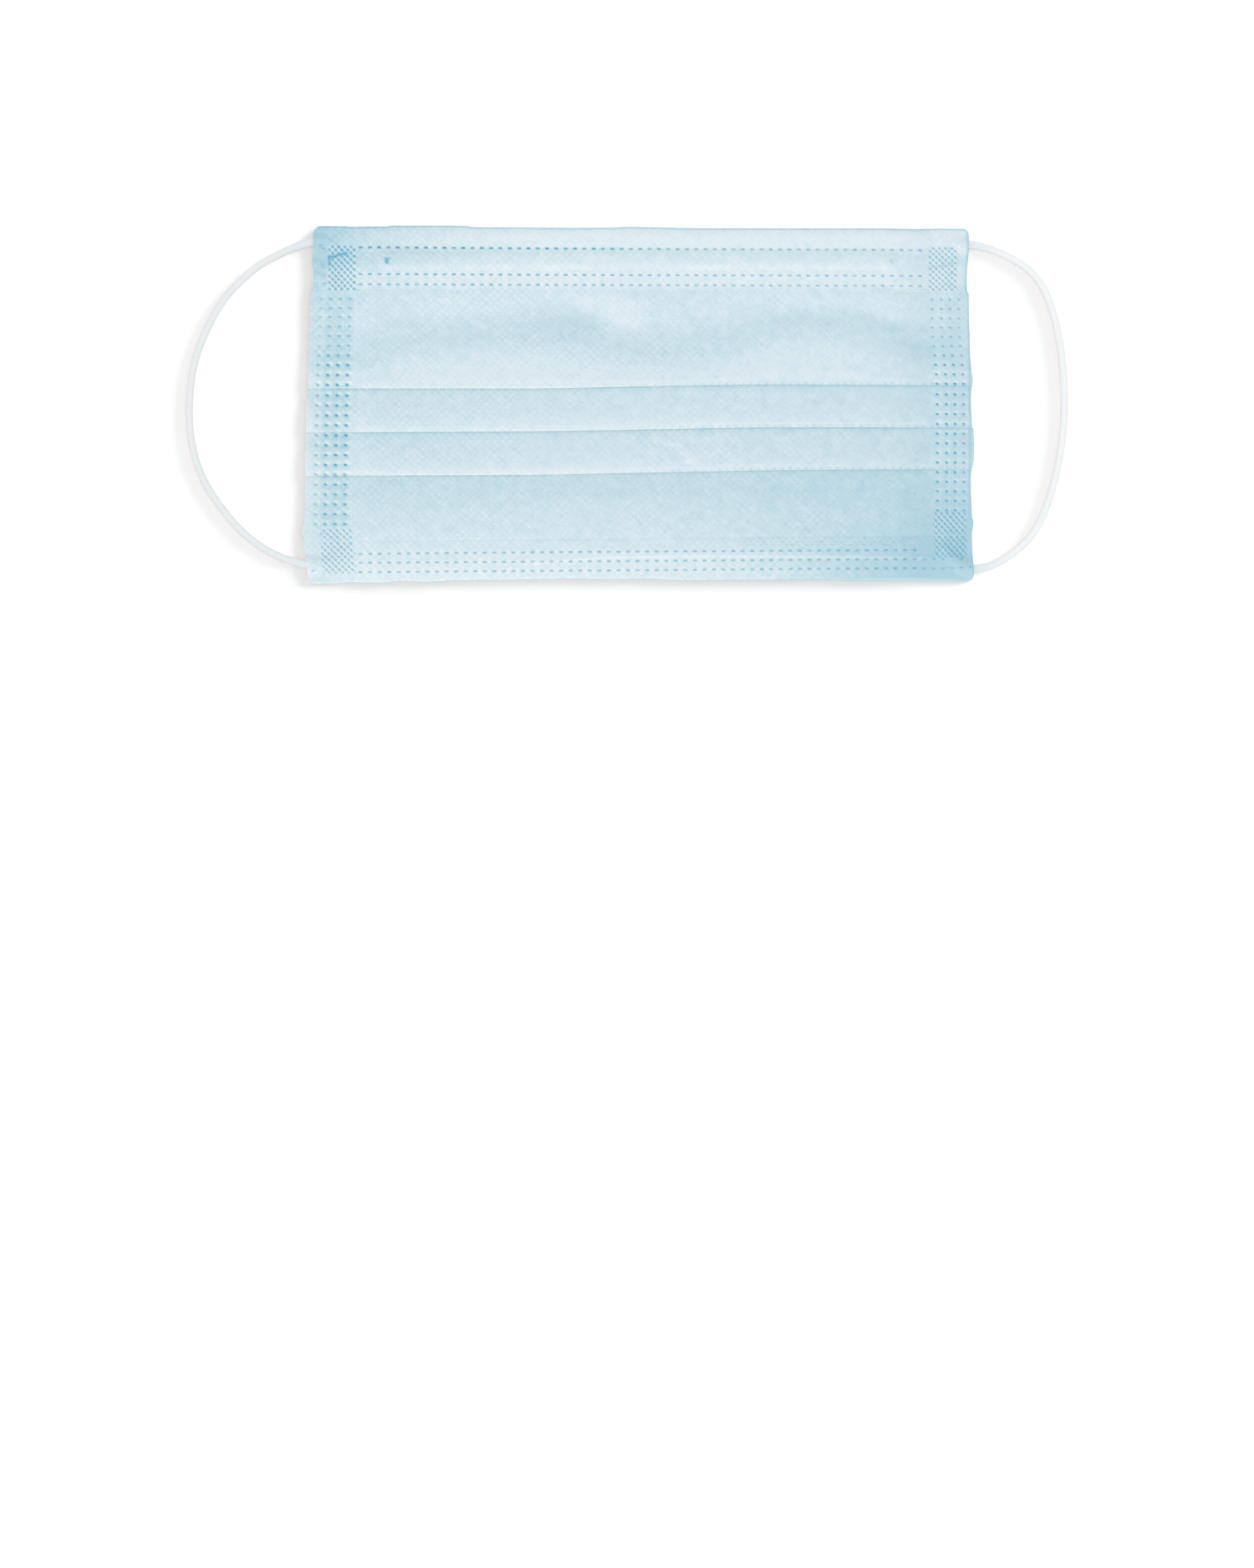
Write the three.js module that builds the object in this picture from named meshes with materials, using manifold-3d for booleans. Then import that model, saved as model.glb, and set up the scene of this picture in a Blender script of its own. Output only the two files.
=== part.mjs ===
// A surgical face mask with three pleats, lying flat with its outer face up and its ear loops spread.
// Millimetres. +X is to the right as the outer face is seen, +Y is towards the nose edge, +Z is up.
// The origin is at the middle of the cloth body, on the surface that the mask lies on.

import * as THREE from "three";
import { mergeVertices } from "three/addons/utils/BufferGeometryUtils.js";
import Module from "manifold-3d";

const wasm = await Module();
wasm.setup();

// Cloth body
const maskWidth = 175;
const maskHeight = 94;
const clothThickness = 1;
const clearance = 0.3;
const cornerRadius = 1.3;

// Pleats, and the side margins where their layers are welded into one
const pleatDepth = 6;
const weldMargin = 12;

// Soft swells of the panel, and the run over which they fade out at its borders
const swellHeight = 0.8;
const swellFade = 4;

// Hems, folded round the nose edge and the chin edge
const topHemWidth = 16.9;
const bottomHemWidth = 11.7;

// Nose wire in the top hem: wireDrop is from the nose edge to the middle of the strip
const wireLength = 133.8;
const wireWidth = 3.6;
const wireThickness = 0.6;
const wireDrop = 8.9;
const wireEndRadius = 1;
const ridgeRun = 2.4;

// Ear loops of round elastic, lying on the surface
const loopDiameter = 1.9;
const loopHeight = 1;

// Facets: sides and steps of a loop, steps across the panel, a margin and a hem, and sides of a bend
const loopSides = 8;
const loopSteps = 38;
const panelSteps = 16;
const marginSteps = 3;
const hemSteps = 14;
const foldSides = 4;
const hemBendSides = 6;

// Colours
const clothColour = 0xc8e0ea;
const wireColour = 0xe4e8ea;
const elasticColour = 0xebecee;

// Folded edges from the nose side down: their place, and how far each line climbs from left to right,
// as shares of maskHeight.
const folds = [
  { place: 0.0518, climb: 0.0096 },
  { place: -0.0707, climb: 0.014 },
  { place: -0.192, climb: 0.0165 },
];

// Every line that runs across the mask: the nose edge, the top hem's lower edge, the folds, the bottom
// hem's upper edge and the chin edge. Shares of maskHeight.
const crossLines = [
  { place: 0.5, climb: -0.007 },
  { place: 0.32, climb: -0.0055 },
  ...folds,
  { place: -0.3755, climb: 0.019 },
  { place: -0.5, climb: 0.0064 },
];

// Side edges: reach is the distance from the middle as a share of maskWidth, and place is the height
// as a share of maskHeight.
const leftEdge = [
  { place: 0.5, reach: 0.487 },
  { place: 0.453, reach: 0.4914 },
  { place: 0.327, reach: 0.4914 },
  { place: 0.312, reach: 0.4966 },
  { place: 0.172, reach: 0.4991 },
  { place: 0.032, reach: 0.5017 },
  { place: -0.179, reach: 0.504 },
  { place: -0.319, reach: 0.504 },
  { place: -0.352, reach: 0.508 },
  { place: -0.378, reach: 0.505 },
  { place: -0.5, reach: 0.499 },
];
const rightEdge = [
  { place: 0.5, reach: 0.5003 },
  { place: 0.429, reach: 0.5003 },
  { place: 0.34, reach: 0.4977 },
  { place: 0.308, reach: 0.5006 },
  { place: 0.125, reach: 0.503 },
  { place: 0.067, reach: 0.506 },
  { place: 0.02, reach: 0.504 },
  { place: -0.062, reach: 0.504 },
  { place: -0.12, reach: 0.5074 },
  { place: -0.19, reach: 0.504 },
  { place: -0.3, reach: 0.5045 },
  { place: -0.352, reach: 0.508 },
  { place: -0.42, reach: 0.506 },
  { place: -0.5, reach: 0.506 },
];

// Soft swells and hollows of the panel between the top hem and the first fold. Places and widths are
// shares of maskWidth and maskHeight, and height is a share of swellHeight.
const swells = [
  { across: -0.06, up: 0.22, wide: 0.075, tall: 0.045, height: 1 },
  { across: -0.3, up: 0.235, wide: 0.12, tall: 0.045, height: 0.6 },
  { across: -0.01, up: 0.17, wide: 0.08, tall: 0.04, height: -0.6 },
  { across: 0.2, up: 0.235, wide: 0.11, tall: 0.045, height: 0.7 },
  { across: 0.37, up: 0.21, wide: 0.05, tall: 0.045, height: 0.6 },
];

// Centre line of each ear loop, [x, y] in millimetres, from the tip welded in the upper corner to the
// tip welded in the lower one. The first and last three points lie inside the hems.
const leftLoopRoute = [
  [-77.9, 39.6], [-80.6, 41.9], [-83.7, 43.0], [-87.0, 42.8], [-91.2, 41.4], [-95.3, 39.5],
  [-100.0, 36.9], [-104.1, 33.6], [-108.2, 29.5], [-111.6, 24.8], [-114.6, 19.0], [-117.0, 12.6],
  [-118.4, 5.8], [-118.9, -1.7], [-118.5, -8.4], [-117.0, -15.2], [-114.6, -21.0], [-110.9, -26.7],
  [-106.8, -31.8], [-102.1, -36.2], [-97.3, -39.3], [-92.6, -41.3], [-88.2, -42.4], [-84.2, -42.5],
  [-80.9, -41.3], [-78.6, -38.9],
];
const rightLoopRoute = [
  [79.0, 37.9], [81.1, 40.4], [84.2, 41.9], [87.9, 42.2], [91.9, 41.4], [96.0, 39.9],
  [101.2, 37.2], [105.1, 33.9], [107.9, 29.5], [109.9, 24.1], [111.6, 16.6], [112.5, 9.9],
  [112.9, 2.4], [112.8, -4.4], [112.1, -11.1], [110.9, -17.9], [109.2, -24.0], [107.2, -29.5],
  [104.6, -34.3], [100.7, -38.4], [96.2, -41.5], [92.2, -43.2], [88.6, -43.6], [85.4, -42.9],
  [82.8, -41.0], [81.2, -38.3],
];

// The three levels at which cloth layers lie, measured to the middle of their thickness
const layerPitch = clothThickness + clearance;
const lowLevel = clothThickness / 2;
const middleLevel = lowLevel + layerPitch;
const topLevel = middleLevel + layerPitch;
const stackHeight = topLevel + clothThickness / 2;

const halfWidth = maskWidth / 2;
const halfHeight = maskHeight / 2;
const flatReach = halfWidth - weldMargin;
const bendCentre = halfHeight - stackHeight / 2;
const topHemEdge = halfHeight - topHemWidth;
const bottomHemEdge = bottomHemWidth - halfHeight;
const foldRadius = (layerPitch + clothThickness) / 2;
const wireMiddle = halfHeight - wireDrop;
const ridgeHalf = wireWidth / 2 + clearance;
const ridgeHeight = wireThickness + clearance;
const ridgeEnd = wireLength / 2 + clearance;

const { clamp, degToRad, lerp, smoothstep } = THREE.MathUtils;

// Straight-line value of a table's column at a place, with the rows ordered by falling place
function columnAt(rows, place, column) {
  const below = rows.findIndex((row) => row.place <= place);
  if (below === 0) return rows[0][column];
  if (below < 0) return rows[rows.length - 1][column];
  const [high, low] = [rows[below - 1], rows[below]];
  return lerp(low[column], high[column], (place - low.place) / (high.place - low.place));
}

// How far a side edge reaches from the middle at height y, with its corners rounded
function sideReach(side, y) {
  const reach = columnAt(side < 0 ? leftEdge : rightEdge, y / maskHeight, "reach") * maskWidth;
  const past = clamp(Math.abs(y) - halfHeight + cornerRadius, 0, cornerRadius);
  return reach - cornerRadius + Math.sqrt(cornerRadius ** 2 - past ** 2);
}

// Lays a point of the plain rectangle in its real place: lines across the mask climb a little from
// left to right, and the weld margins stretch to the side edges.
function layOut(x, y, z) {
  const side = Math.sign(x);
  const sway = clamp(x / flatReach, -1, 1);
  const climb = columnAt(crossLines, y / maskHeight, "climb") * maskHeight;
  const margin = clamp((Math.abs(x) - flatReach) / weldMargin, 0, 1);
  const stretch = (sideReach(side, y) - halfWidth) * margin ** 3;
  return [x + side * stretch, y + (climb * (1.5 * sway - 0.5 * sway ** 3)) / 2, z];
}

// Height of the soft swells at a point of the upper panel, fading out at the hem and above the pleat
function swellAt(x, y) {
  const pleatTop = folds[0].place * maskHeight + pleatDepth;
  const fade = smoothstep(y, pleatTop, pleatTop + swellFade) * smoothstep(topHemEdge - y, 0, swellFade);
  const margin = 1 - smoothstep(Math.abs(x), flatReach - 2 * swellFade, flatReach);
  let height = 0;
  for (const swell of swells) {
    const across = (x / maskWidth - swell.across) / swell.wide;
    const up = (y / maskHeight - swell.up) / swell.tall;
    height += swell.height * Math.exp(-(across ** 2) - up ** 2);
  }
  return swellHeight * height * fade * margin;
}

// Rise of the top hem's front layer over the nose wire
function ridgeAt(x, y) {
  const beside = Math.abs(y - wireMiddle) - ridgeHalf;
  const beyond = Math.abs(x) - ridgeEnd;
  return ridgeHeight * (1 - smoothstep(beside, 0, ridgeRun)) * (1 - smoothstep(beyond, 0, ridgeRun));
}

// Points of a round bend, [y, z], from one angle in degrees to another
function bend(y, z, radius, from, to, steps) {
  const points = [];
  for (let i = 0; i <= steps; i++) {
    const angle = degToRad(lerp(from, to, i / steps));
    points.push([y + radius * Math.cos(angle), z + radius * Math.sin(angle)]);
  }
  return points;
}

// Points of a soft slope that leaves one level flat and reaches the next one flat, start left out
function slope([fromY, fromZ], [toY, toZ], steps) {
  const points = [];
  for (let i = 1; i <= steps; i++) {
    const share = i / steps;
    points.push([lerp(fromY, toY, share), lerp(fromZ, toZ, smoothstep(share, 0, 1))]);
  }
  return points;
}

// Middle line of the pleated sheet as stretches of [y, z] points, from the nose edge to the chin edge.
// A seen stretch shows on the outer face, and a hidden one is a pleat's underlap.
function panelStretches() {
  const stretches = [];
  const foldYs = folds.map((fold) => fold.place * maskHeight);
  let seen = [[bendCentre, middleLevel], [topHemEdge, middleLevel]];
  foldYs.forEach((foldY, i) => {
    const crest = [foldY + pleatDepth, topLevel];
    seen.push(...slope(seen[seen.length - 1], crest, i === 0 ? 7 : 4));
    const upper = bend(foldY + foldRadius, topLevel - layerPitch / 2, layerPitch / 2, 90, 270, foldSides);
    const turnY = foldY + pleatDepth - foldRadius;
    const lower = bend(turnY, lowLevel + layerPitch / 2, layerPitch / 2, 90, -90, foldSides);
    const shownSides = foldSides / 2 + 1;
    seen.push(...upper.slice(0, shownSides));
    stretches.push({ hidden: false, points: seen });
    stretches.push({ hidden: true, points: [...upper.slice(shownSides), ...lower] });
    seen = [[foldY, lowLevel]];
  });
  const settled = (seen[0][0] + bottomHemEdge) / 2;
  seen.push(...slope(seen[0], [settled, middleLevel], 4));
  seen.push(...evenStations(settled, bottomHemEdge, 4).slice(1).map((y) => [y, middleLevel]));
  seen.push([-bendCentre, middleLevel]);
  stretches.push({ hidden: false, points: seen });
  return stretches;
}

// A line of [y, z] points moved to its side by a distance, with mitred corners
function besideLine(points, distance) {
  return points.map(([y, z], i) => {
    const [beforeY, beforeZ] = points[Math.max(i - 1, 0)];
    const [afterY, afterZ] = points[Math.min(i + 1, points.length - 1)];
    const into = new THREE.Vector2(y - beforeY, z - beforeZ).normalize();
    const out = new THREE.Vector2(afterY - y, afterZ - z).normalize();
    const along = into.clone().add(out).normalize();
    const straight = into.lengthSq() > 0 ? into : out;
    const width = distance / along.dot(straight);
    return [y + along.y * width, z - along.x * width];
  });
}

// Closed outline of a sheet of cloth whose middle line is given
function clothOutline(line) {
  return [...besideLine(line, clothThickness / 2), ...besideLine(line, -clothThickness / 2).reverse()];
}

// Outline of a weld margin: what the sheet shows above, and solid down to the surface between the hems
function marginOutline(stretches) {
  const line = stretches.flatMap((stretch) => stretch.points);
  const hidden = stretches.flatMap((stretch) => stretch.points.map(() => stretch.hidden));
  const shown = besideLine(line, clothThickness / 2).filter((point, i) => !hidden[i]);
  const tongue = middleLevel - clothThickness / 2;
  const [highest, lowest] = [topHemEdge - clearance, bottomHemEdge + clearance];
  const between = shown.map(([y]) => y).filter((y) => y < highest && y > lowest);
  const under = [...new Set(between)].sort((a, b) => a - b).map((y) => [y, 0]);
  return [
    ...shown,
    [-bendCentre, tongue],
    [lowest, tongue],
    [lowest, 0],
    ...under,
    [highest, 0],
    [highest, tongue],
    [bendCentre, tongue],
  ];
}

// Extrudes a [y, z] outline through a list of x stations and moves every point by a rule
function extrudeAcross(outline, stations, move) {
  const shape = new THREE.Shape(outline.map(([y, z]) => new THREE.Vector2(y, z)));
  const steps = stations.length - 1;
  const geometry = new THREE.ExtrudeGeometry(shape, { depth: steps, steps, bevelEnabled: false });
  const position = geometry.getAttribute("position");
  for (let i = 0; i < position.count; i++) {
    const x = stations[Math.round(position.getZ(i))];
    position.setXYZ(i, ...move(x, position.getX(i), position.getY(i)));
  }
  return geometry;
}

// Evenly spaced stations from one x to another
function evenStations(from, to, steps) {
  return Array.from({ length: steps + 1 }, (_, i) => lerp(from, to, i / steps));
}

// Closed solid from a three.js geometry
function toSolid(geometry) {
  const bare = geometry.clone();
  bare.deleteAttribute("normal");
  bare.deleteAttribute("uv");
  const merged = mergeVertices(bare);
  const vertProperties = new Float32Array(merged.getAttribute("position").array);
  const triVerts = new Uint32Array(merged.index.array);
  return new wasm.Manifold(new wasm.Mesh({ numProp: 3, vertProperties, triVerts }));
}

// three.js geometry from a closed solid
function toGeometry(solid) {
  const mesh = solid.getMesh();
  const geometry = new THREE.BufferGeometry();
  geometry.setAttribute("position", new THREE.BufferAttribute(mesh.vertProperties, 3));
  geometry.setIndex(new THREE.BufferAttribute(mesh.triVerts, 1));
  geometry.computeVertexNormals();
  return geometry;
}

// Smooth curve through a loop's route, longer by the given run at both tips
function loopCurve(route, run) {
  const points = route.map(([x, y]) => new THREE.Vector3(x, y, loopHeight));
  if (run > 0) {
    const first = points[0].clone().sub(points[1]).setLength(run).add(points[0]);
    const last = points[points.length - 1];
    const end = last.clone().sub(points[points.length - 2]).setLength(run).add(last);
    points.unshift(first);
    points.push(end);
  }
  return new THREE.CatmullRomCurve3(points, false, "centripetal");
}

// A section carried along a loop's route. The section's x points down and its y to the side.
function alongLoop(section, route, run) {
  const settings = { steps: loopSteps, extrudePath: loopCurve(route, run), bevelEnabled: false };
  return new THREE.ExtrudeGeometry(new THREE.Shape(section), settings);
}

// Round section of the elastic, with a flat side down
function loopSection() {
  const points = [];
  for (let i = 0; i < loopSides; i++) {
    const angle = (2 * Math.PI * (i + 0.5)) / loopSides;
    points.push(new THREE.Vector2(Math.cos(angle), Math.sin(angle)).multiplyScalar(loopDiameter / 2));
  }
  return points;
}

// Slot in the hem's back layer that takes a loop's end, open downwards
function slotSection() {
  const half = loopDiameter / 2 + clearance;
  const depth = loopHeight + clothThickness;
  return [[-half, -half], [depth, -half], [depth, half], [-half, half]].map(
    ([down, aside]) => new THREE.Vector2(down, aside),
  );
}

// Corner of the panel that is cut away where a loop's end lies, as a box in plan
function cornerNotch(points) {
  const half = loopDiameter / 2 + clearance;
  const side = Math.sign(points[0][0]);
  const upward = Math.sign(points[0][1]);
  const inner = Math.min(...points.map(([x]) => Math.abs(x))) - half;
  const lower = Math.min(...points.map(([, y]) => Math.abs(y))) - half;
  const geometry = new THREE.BoxGeometry(halfWidth, halfHeight, 2 * stackHeight);
  geometry.translate(side * (inner + halfWidth / 2), upward * (lower + halfHeight / 2), stackHeight / 2);
  return toSolid(geometry);
}

// One sheet with three pleats, welded solid along both sides
function pleatedPanel() {
  const stretches = panelStretches();
  const line = stretches.flatMap((stretch) => stretch.points);
  const lay = (x, y, z) => {
    const [laidX, laidY] = layOut(x, y, z);
    return [laidX, laidY, z + swellAt(x, y)];
  };
  const middle = extrudeAcross(clothOutline(line), evenStations(-flatReach, flatReach, panelSteps), lay);
  const margin = marginOutline(stretches);
  const left = extrudeAcross(margin, evenStations(-halfWidth, -flatReach, marginSteps), layOut);
  const right = extrudeAcross(margin, evenStations(flatReach, halfWidth, marginSteps), layOut);
  let solid = toSolid(middle).add(toSolid(left)).add(toSolid(right));
  for (const route of [leftLoopRoute, rightLoopRoute]) {
    solid = solid.subtract(cornerNotch(route.slice(0, 3)));
    solid = solid.subtract(cornerNotch(route.slice(-3)));
  }
  return toGeometry(solid);
}

// Middle line of a hem from its front edge round the bend to its back edge. The side is 1 for the
// nose edge and -1 for the chin edge, and extra front points carry the wire's ridge.
function hemLine(edge, side, frontYs) {
  const turned = bend(side * bendCentre, middleLevel, layerPitch, 90, 90 - side * 180, hemBendSides);
  return [[edge, topLevel], ...frontYs.map((y) => [y, topLevel]), ...turned, [edge, lowLevel]];
}

function cutSlots(geometry) {
  let solid = toSolid(geometry);
  for (const route of [leftLoopRoute, rightLoopRoute]) {
    solid = solid.subtract(toSolid(alongLoop(slotSection(), route, clearance)));
  }
  return toGeometry(solid);
}

function topHem() {
  const runs = [ridgeHalf + ridgeRun, ridgeHalf + ridgeRun / 2, ridgeHalf];
  const below = runs.map((run) => wireMiddle - run);
  const frontYs = [...below, ...runs.reverse().map((run) => wireMiddle + run)];
  const ends = [...evenStations(halfWidth, flatReach, marginSteps), ridgeEnd + ridgeRun, ridgeEnd];
  const stations = [
    ...ends.map((x) => -x),
    ...evenStations(-ridgeEnd, ridgeEnd, hemSteps).slice(1, -1),
    ...ends.reverse(),
  ];
  const raise = (x, y, z) => {
    const [laidX, laidY] = layOut(x, y, z);
    return [laidX, laidY, z > middleLevel ? z + ridgeAt(x, y) : z];
  };
  return cutSlots(extrudeAcross(clothOutline(hemLine(topHemEdge, 1, frontYs)), stations, raise));
}

function bottomHem() {
  const stations = [
    ...evenStations(-halfWidth, -flatReach, marginSteps),
    ...evenStations(-flatReach, flatReach, hemSteps).slice(1, -1),
    ...evenStations(flatReach, halfWidth, marginSteps),
  ];
  const frontYs = evenStations(bottomHemEdge, -bendCentre, 3).slice(1, -1);
  return cutSlots(extrudeAcross(clothOutline(hemLine(bottomHemEdge, -1, frontYs)), stations, layOut));
}

// Flat strip with rounded ends, lying on the panel under the hem's front layer
function noseWire() {
  const [halfLength, half, round] = [wireLength / 2, wireWidth / 2, wireEndRadius];
  const shape = new THREE.Shape();
  shape.moveTo(-halfLength + round, -half);
  shape.lineTo(halfLength - round, -half);
  shape.absarc(halfLength - round, -half + round, round, -Math.PI / 2, 0);
  shape.absarc(halfLength - round, half - round, round, 0, Math.PI / 2);
  shape.absarc(-halfLength + round, half - round, round, Math.PI / 2, Math.PI);
  shape.absarc(-halfLength + round, -half + round, round, Math.PI, 1.5 * Math.PI);
  const settings = { depth: wireThickness, curveSegments: 2, bevelEnabled: false };
  const geometry = new THREE.ExtrudeGeometry(shape, settings);
  const position = geometry.getAttribute("position");
  const base = middleLevel + clothThickness / 2 + clearance;
  for (let i = 0; i < position.count; i++) {
    const y = wireMiddle + position.getY(i);
    position.setXYZ(i, ...layOut(position.getX(i), y, base + position.getZ(i)));
  }
  return geometry;
}

const cloth = new THREE.MeshStandardMaterial({ color: clothColour, roughness: 0.85, metalness: 0 });
const wire = new THREE.MeshStandardMaterial({ color: wireColour, roughness: 0.5, metalness: 0 });
const elastic = new THREE.MeshStandardMaterial({ color: elasticColour, roughness: 0.9, metalness: 0 });

const mask = new THREE.Group();

function addPiece(name, geometry, material) {
  const mesh = new THREE.Mesh(geometry, material);
  mesh.name = name;
  mask.add(mesh);
}

addPiece("pleated_panel", pleatedPanel(), cloth);
addPiece("top_hem", topHem(), cloth);
addPiece("bottom_hem", bottomHem(), cloth);
addPiece("nose_wire", noseWire(), wire);
addPiece("ear_loop_left", alongLoop(loopSection(), leftLoopRoute, 0), elastic);
addPiece("ear_loop_right", alongLoop(loopSection(), rightLoopRoute, 0), elastic);

export default mask;
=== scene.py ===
import bpy
import numpy as np
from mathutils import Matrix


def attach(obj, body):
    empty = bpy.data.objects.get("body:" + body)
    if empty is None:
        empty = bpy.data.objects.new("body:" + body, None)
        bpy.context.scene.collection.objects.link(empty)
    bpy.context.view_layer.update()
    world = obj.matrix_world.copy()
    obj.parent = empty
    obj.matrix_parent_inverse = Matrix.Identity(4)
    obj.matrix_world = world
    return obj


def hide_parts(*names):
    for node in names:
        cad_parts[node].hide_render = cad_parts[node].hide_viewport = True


# A pleated cloth face mask that lies flat with its ear loops spread out, seen from straight above.
# Shapes are worked out in millimetres and go into their meshes in metres.

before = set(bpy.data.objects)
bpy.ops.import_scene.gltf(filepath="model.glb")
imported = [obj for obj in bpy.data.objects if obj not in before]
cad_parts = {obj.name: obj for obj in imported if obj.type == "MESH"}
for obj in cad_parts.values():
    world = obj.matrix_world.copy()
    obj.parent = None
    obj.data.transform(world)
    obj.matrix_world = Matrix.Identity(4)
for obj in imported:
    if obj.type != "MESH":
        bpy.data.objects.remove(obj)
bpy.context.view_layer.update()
metre = 0.001
print("frame loaded")


# ease: 0 below low, 1 above high, 3t^2 - 2t^3 between them
def ease(low, high, value):
    share = np.clip((value - low) / (high - low), 0, 1)
    return share * share * (3 - 2 * share)


# between: 1 from one place to another; each end fades from near to far outside it
def between(first, last, near, far, value):
    return ease(first - far, first - near, value) * (1 - ease(last + near, last + far, value))


# mix: goes from the first value of a pair to the second
def mix(pair, share):
    return pair[0] + (pair[1] - pair[0]) * share


# hill: exp(-(distance / width)^2)
def hill(distance, width):
    return np.exp(-((distance / width) ** 2))


# smoothMax: the larger of two heights, rounded where they cross
def smoothMax(first, second, soft=0.15):
    return 0.5 * (first + second + np.sqrt((first - second) ** 2 + soft**2))


# curveAt: cubic pieces through a table's points; a point's slope is the harmonic mean of the slopes beside it, or 0
def curveAt(table, value):
    place, height = np.array(table, float).T
    rise = np.diff(height) / np.diff(place)
    before, after = np.append(rise[:1], rise), np.append(rise, rise[-1:])
    slope = np.where(before * after > 0, 2 * before * after / (before + after + 1e-12), 0)
    left = np.clip(np.searchsorted(place, value) - 1, 0, len(place) - 2)
    span = place[left + 1] - place[left]
    share = np.clip((value - place[left]) / span, 0, 1)
    ends = height[left] * (1 + 2 * share) * (1 - share) ** 2 + height[left + 1] * share**2 * (3 - 2 * share)
    return ends + span * share * (1 - share) * (slope[left] * (1 - share) - slope[left + 1] * share)


# distanceTo: the shortest way from each point to a line of straight pieces
def distanceTo(line, x, y):
    nearest = np.full(np.broadcast(x, y).shape, 1e6)
    for (ax, ay), (bx, by) in zip(line[:-1], line[1:]):
        ux, uy = bx - ax, by - ay
        along = np.clip(((x - ax) * ux + (y - ay) * uy) / (ux * ux + uy * uy), 0, 1)
        nearest = np.minimum(nearest, np.hypot(x - ax - along * ux, y - ay - along * uy))
    return nearest


# ---- view and light
view = {"lens": 135, "sensor": 36, "across": -2.94, "up": -100.6, "height": 1558, "clip": (0.05, 20)}
light = {
    "key": {"toward": (0.8, 0.38, 0.22), "strength": 3.2, "spread": 32, "colour": (1, 1, 1)},  # shadow on the floor
    "rest": {"toward": (0.8, 0.38, 0.22), "strength": 1.7, "spread": 32, "colour": (1, 1, 1)},  # passes the loops
    "fill": {"toward": (-0.42, -0.64, 0.6), "strength": 2.55, "spread": 40, "colour": (1, 0.68, 0.52)},  # on the folds
    "wash": {"toward": (0, 0, 1), "strength": 1.46, "spread": 60, "colour": (1, 0.68, 0.52)},  # floor and loops
    "sky": {"strength": 0.86, "colour": (0.72, 0.907, 1)},
    "floor": {"grey": 0.75, "reach": 3},
}

scene = bpy.context.scene
scene.view_settings.view_transform = "Standard"


def addObject(name, data):
    made = bpy.data.objects.new(name, data)
    scene.collection.objects.link(made)
    return made


# feed: values or other nodes' sockets go to a node's inputs
def feed(tree, node, inputs):
    for name, value in inputs.items():
        if isinstance(value, bpy.types.NodeSocket):
            tree.links.new(value, node.inputs[name])
        else:
            node.inputs[name].default_value = value


def addCamera():
    data = bpy.data.cameras.new("camera")
    data.lens, data.sensor_width, data.sensor_fit = view["lens"], view["sensor"], "AUTO"
    data.clip_start, data.clip_end = view["clip"]
    scene.camera = addObject("camera", data)
    scene.camera.location = [view[key] * metre for key in ("across", "up", "height")]


def addSun(name):
    values = light[name]
    data = bpy.data.lights.new(name, "SUN")
    data.energy, data.angle, data.color = values["strength"], np.radians(values["spread"]), values["colour"]
    made, (x, y, z) = addObject(name, data), values["toward"]
    made.rotation_euler = (0, np.arctan2(np.hypot(x, y), z), np.arctan2(y, x))
    return made


addCamera()
suns = {name: addSun(name) for name in ("key", "rest", "fill", "wash")}
world = bpy.data.worlds.new("studio")
scene.world = world
world.use_nodes = True
sky = {"Color": (*light["sky"]["colour"], 1), "Strength": light["sky"]["strength"]}
feed(world.node_tree, world.node_tree.nodes["Background"], sky)
print("camera and light set")


# ---- materials
# addNode: options are the node's own settings
def addNode(tree, kind, inputs={}, **options):
    node = tree.nodes.new("ShaderNode" + kind)
    for name, value in options.items():
        setattr(node, name, value)
    feed(tree, node, inputs)
    return node


def calculate(tree, operation, *values):
    return addNode(tree, "Math", dict(enumerate(values)), operation=operation).outputs[0]


def mixColours(tree, share, first, second):
    return addNode(tree, "Mix", {0: share, 6: first, 7: second}, data_type="RGBA").outputs[2]


# remap: in spread, 1 and 2 are the ends of the values and 3 and 4 the ends of the results
def remap(tree, value, spread, **options):
    return addNode(tree, "MapRange", {0: value, **spread}, **options).outputs[0]


def addNoise(tree, place, scale, detail, roughness=0.5, output=0):
    inputs = {"Vector": place, "Scale": scale, "Detail": detail, "Roughness": roughness}
    return addNode(tree, "TexNoise", inputs).outputs[output]


spunLook = {
    "pitch": (2.11, 1.98),  # bond points in a staggered lattice, in mm
    "leans": (0.52, 0.48),  # how much the rows that fall to the right show, and those that rise
    "wander": (0.5, 0.3),  # how far the rows wander, and how often
    "fade": -0.0016,  # the points grow fainter to the right
    "patches": 0.06,  # how often the points come and go
    "clear": {1: 0.36, 2: 0.62, 3: 0.15, 4: 1.0},  # how the patches' noise becomes their strength
    "spot": {1: -0.2, 2: 0.95},  # the two waves' sum at a point's rim and in its middle
    "fibres": [(0.85, 0.42, 3.4), (0.5, 0.35, 2.9), (-0.8, 0.4, 3.1)],  # turn, cells along and across for each mm
    "blotches": 0.35,
    "pointHeight": 0.25,
}


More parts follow.
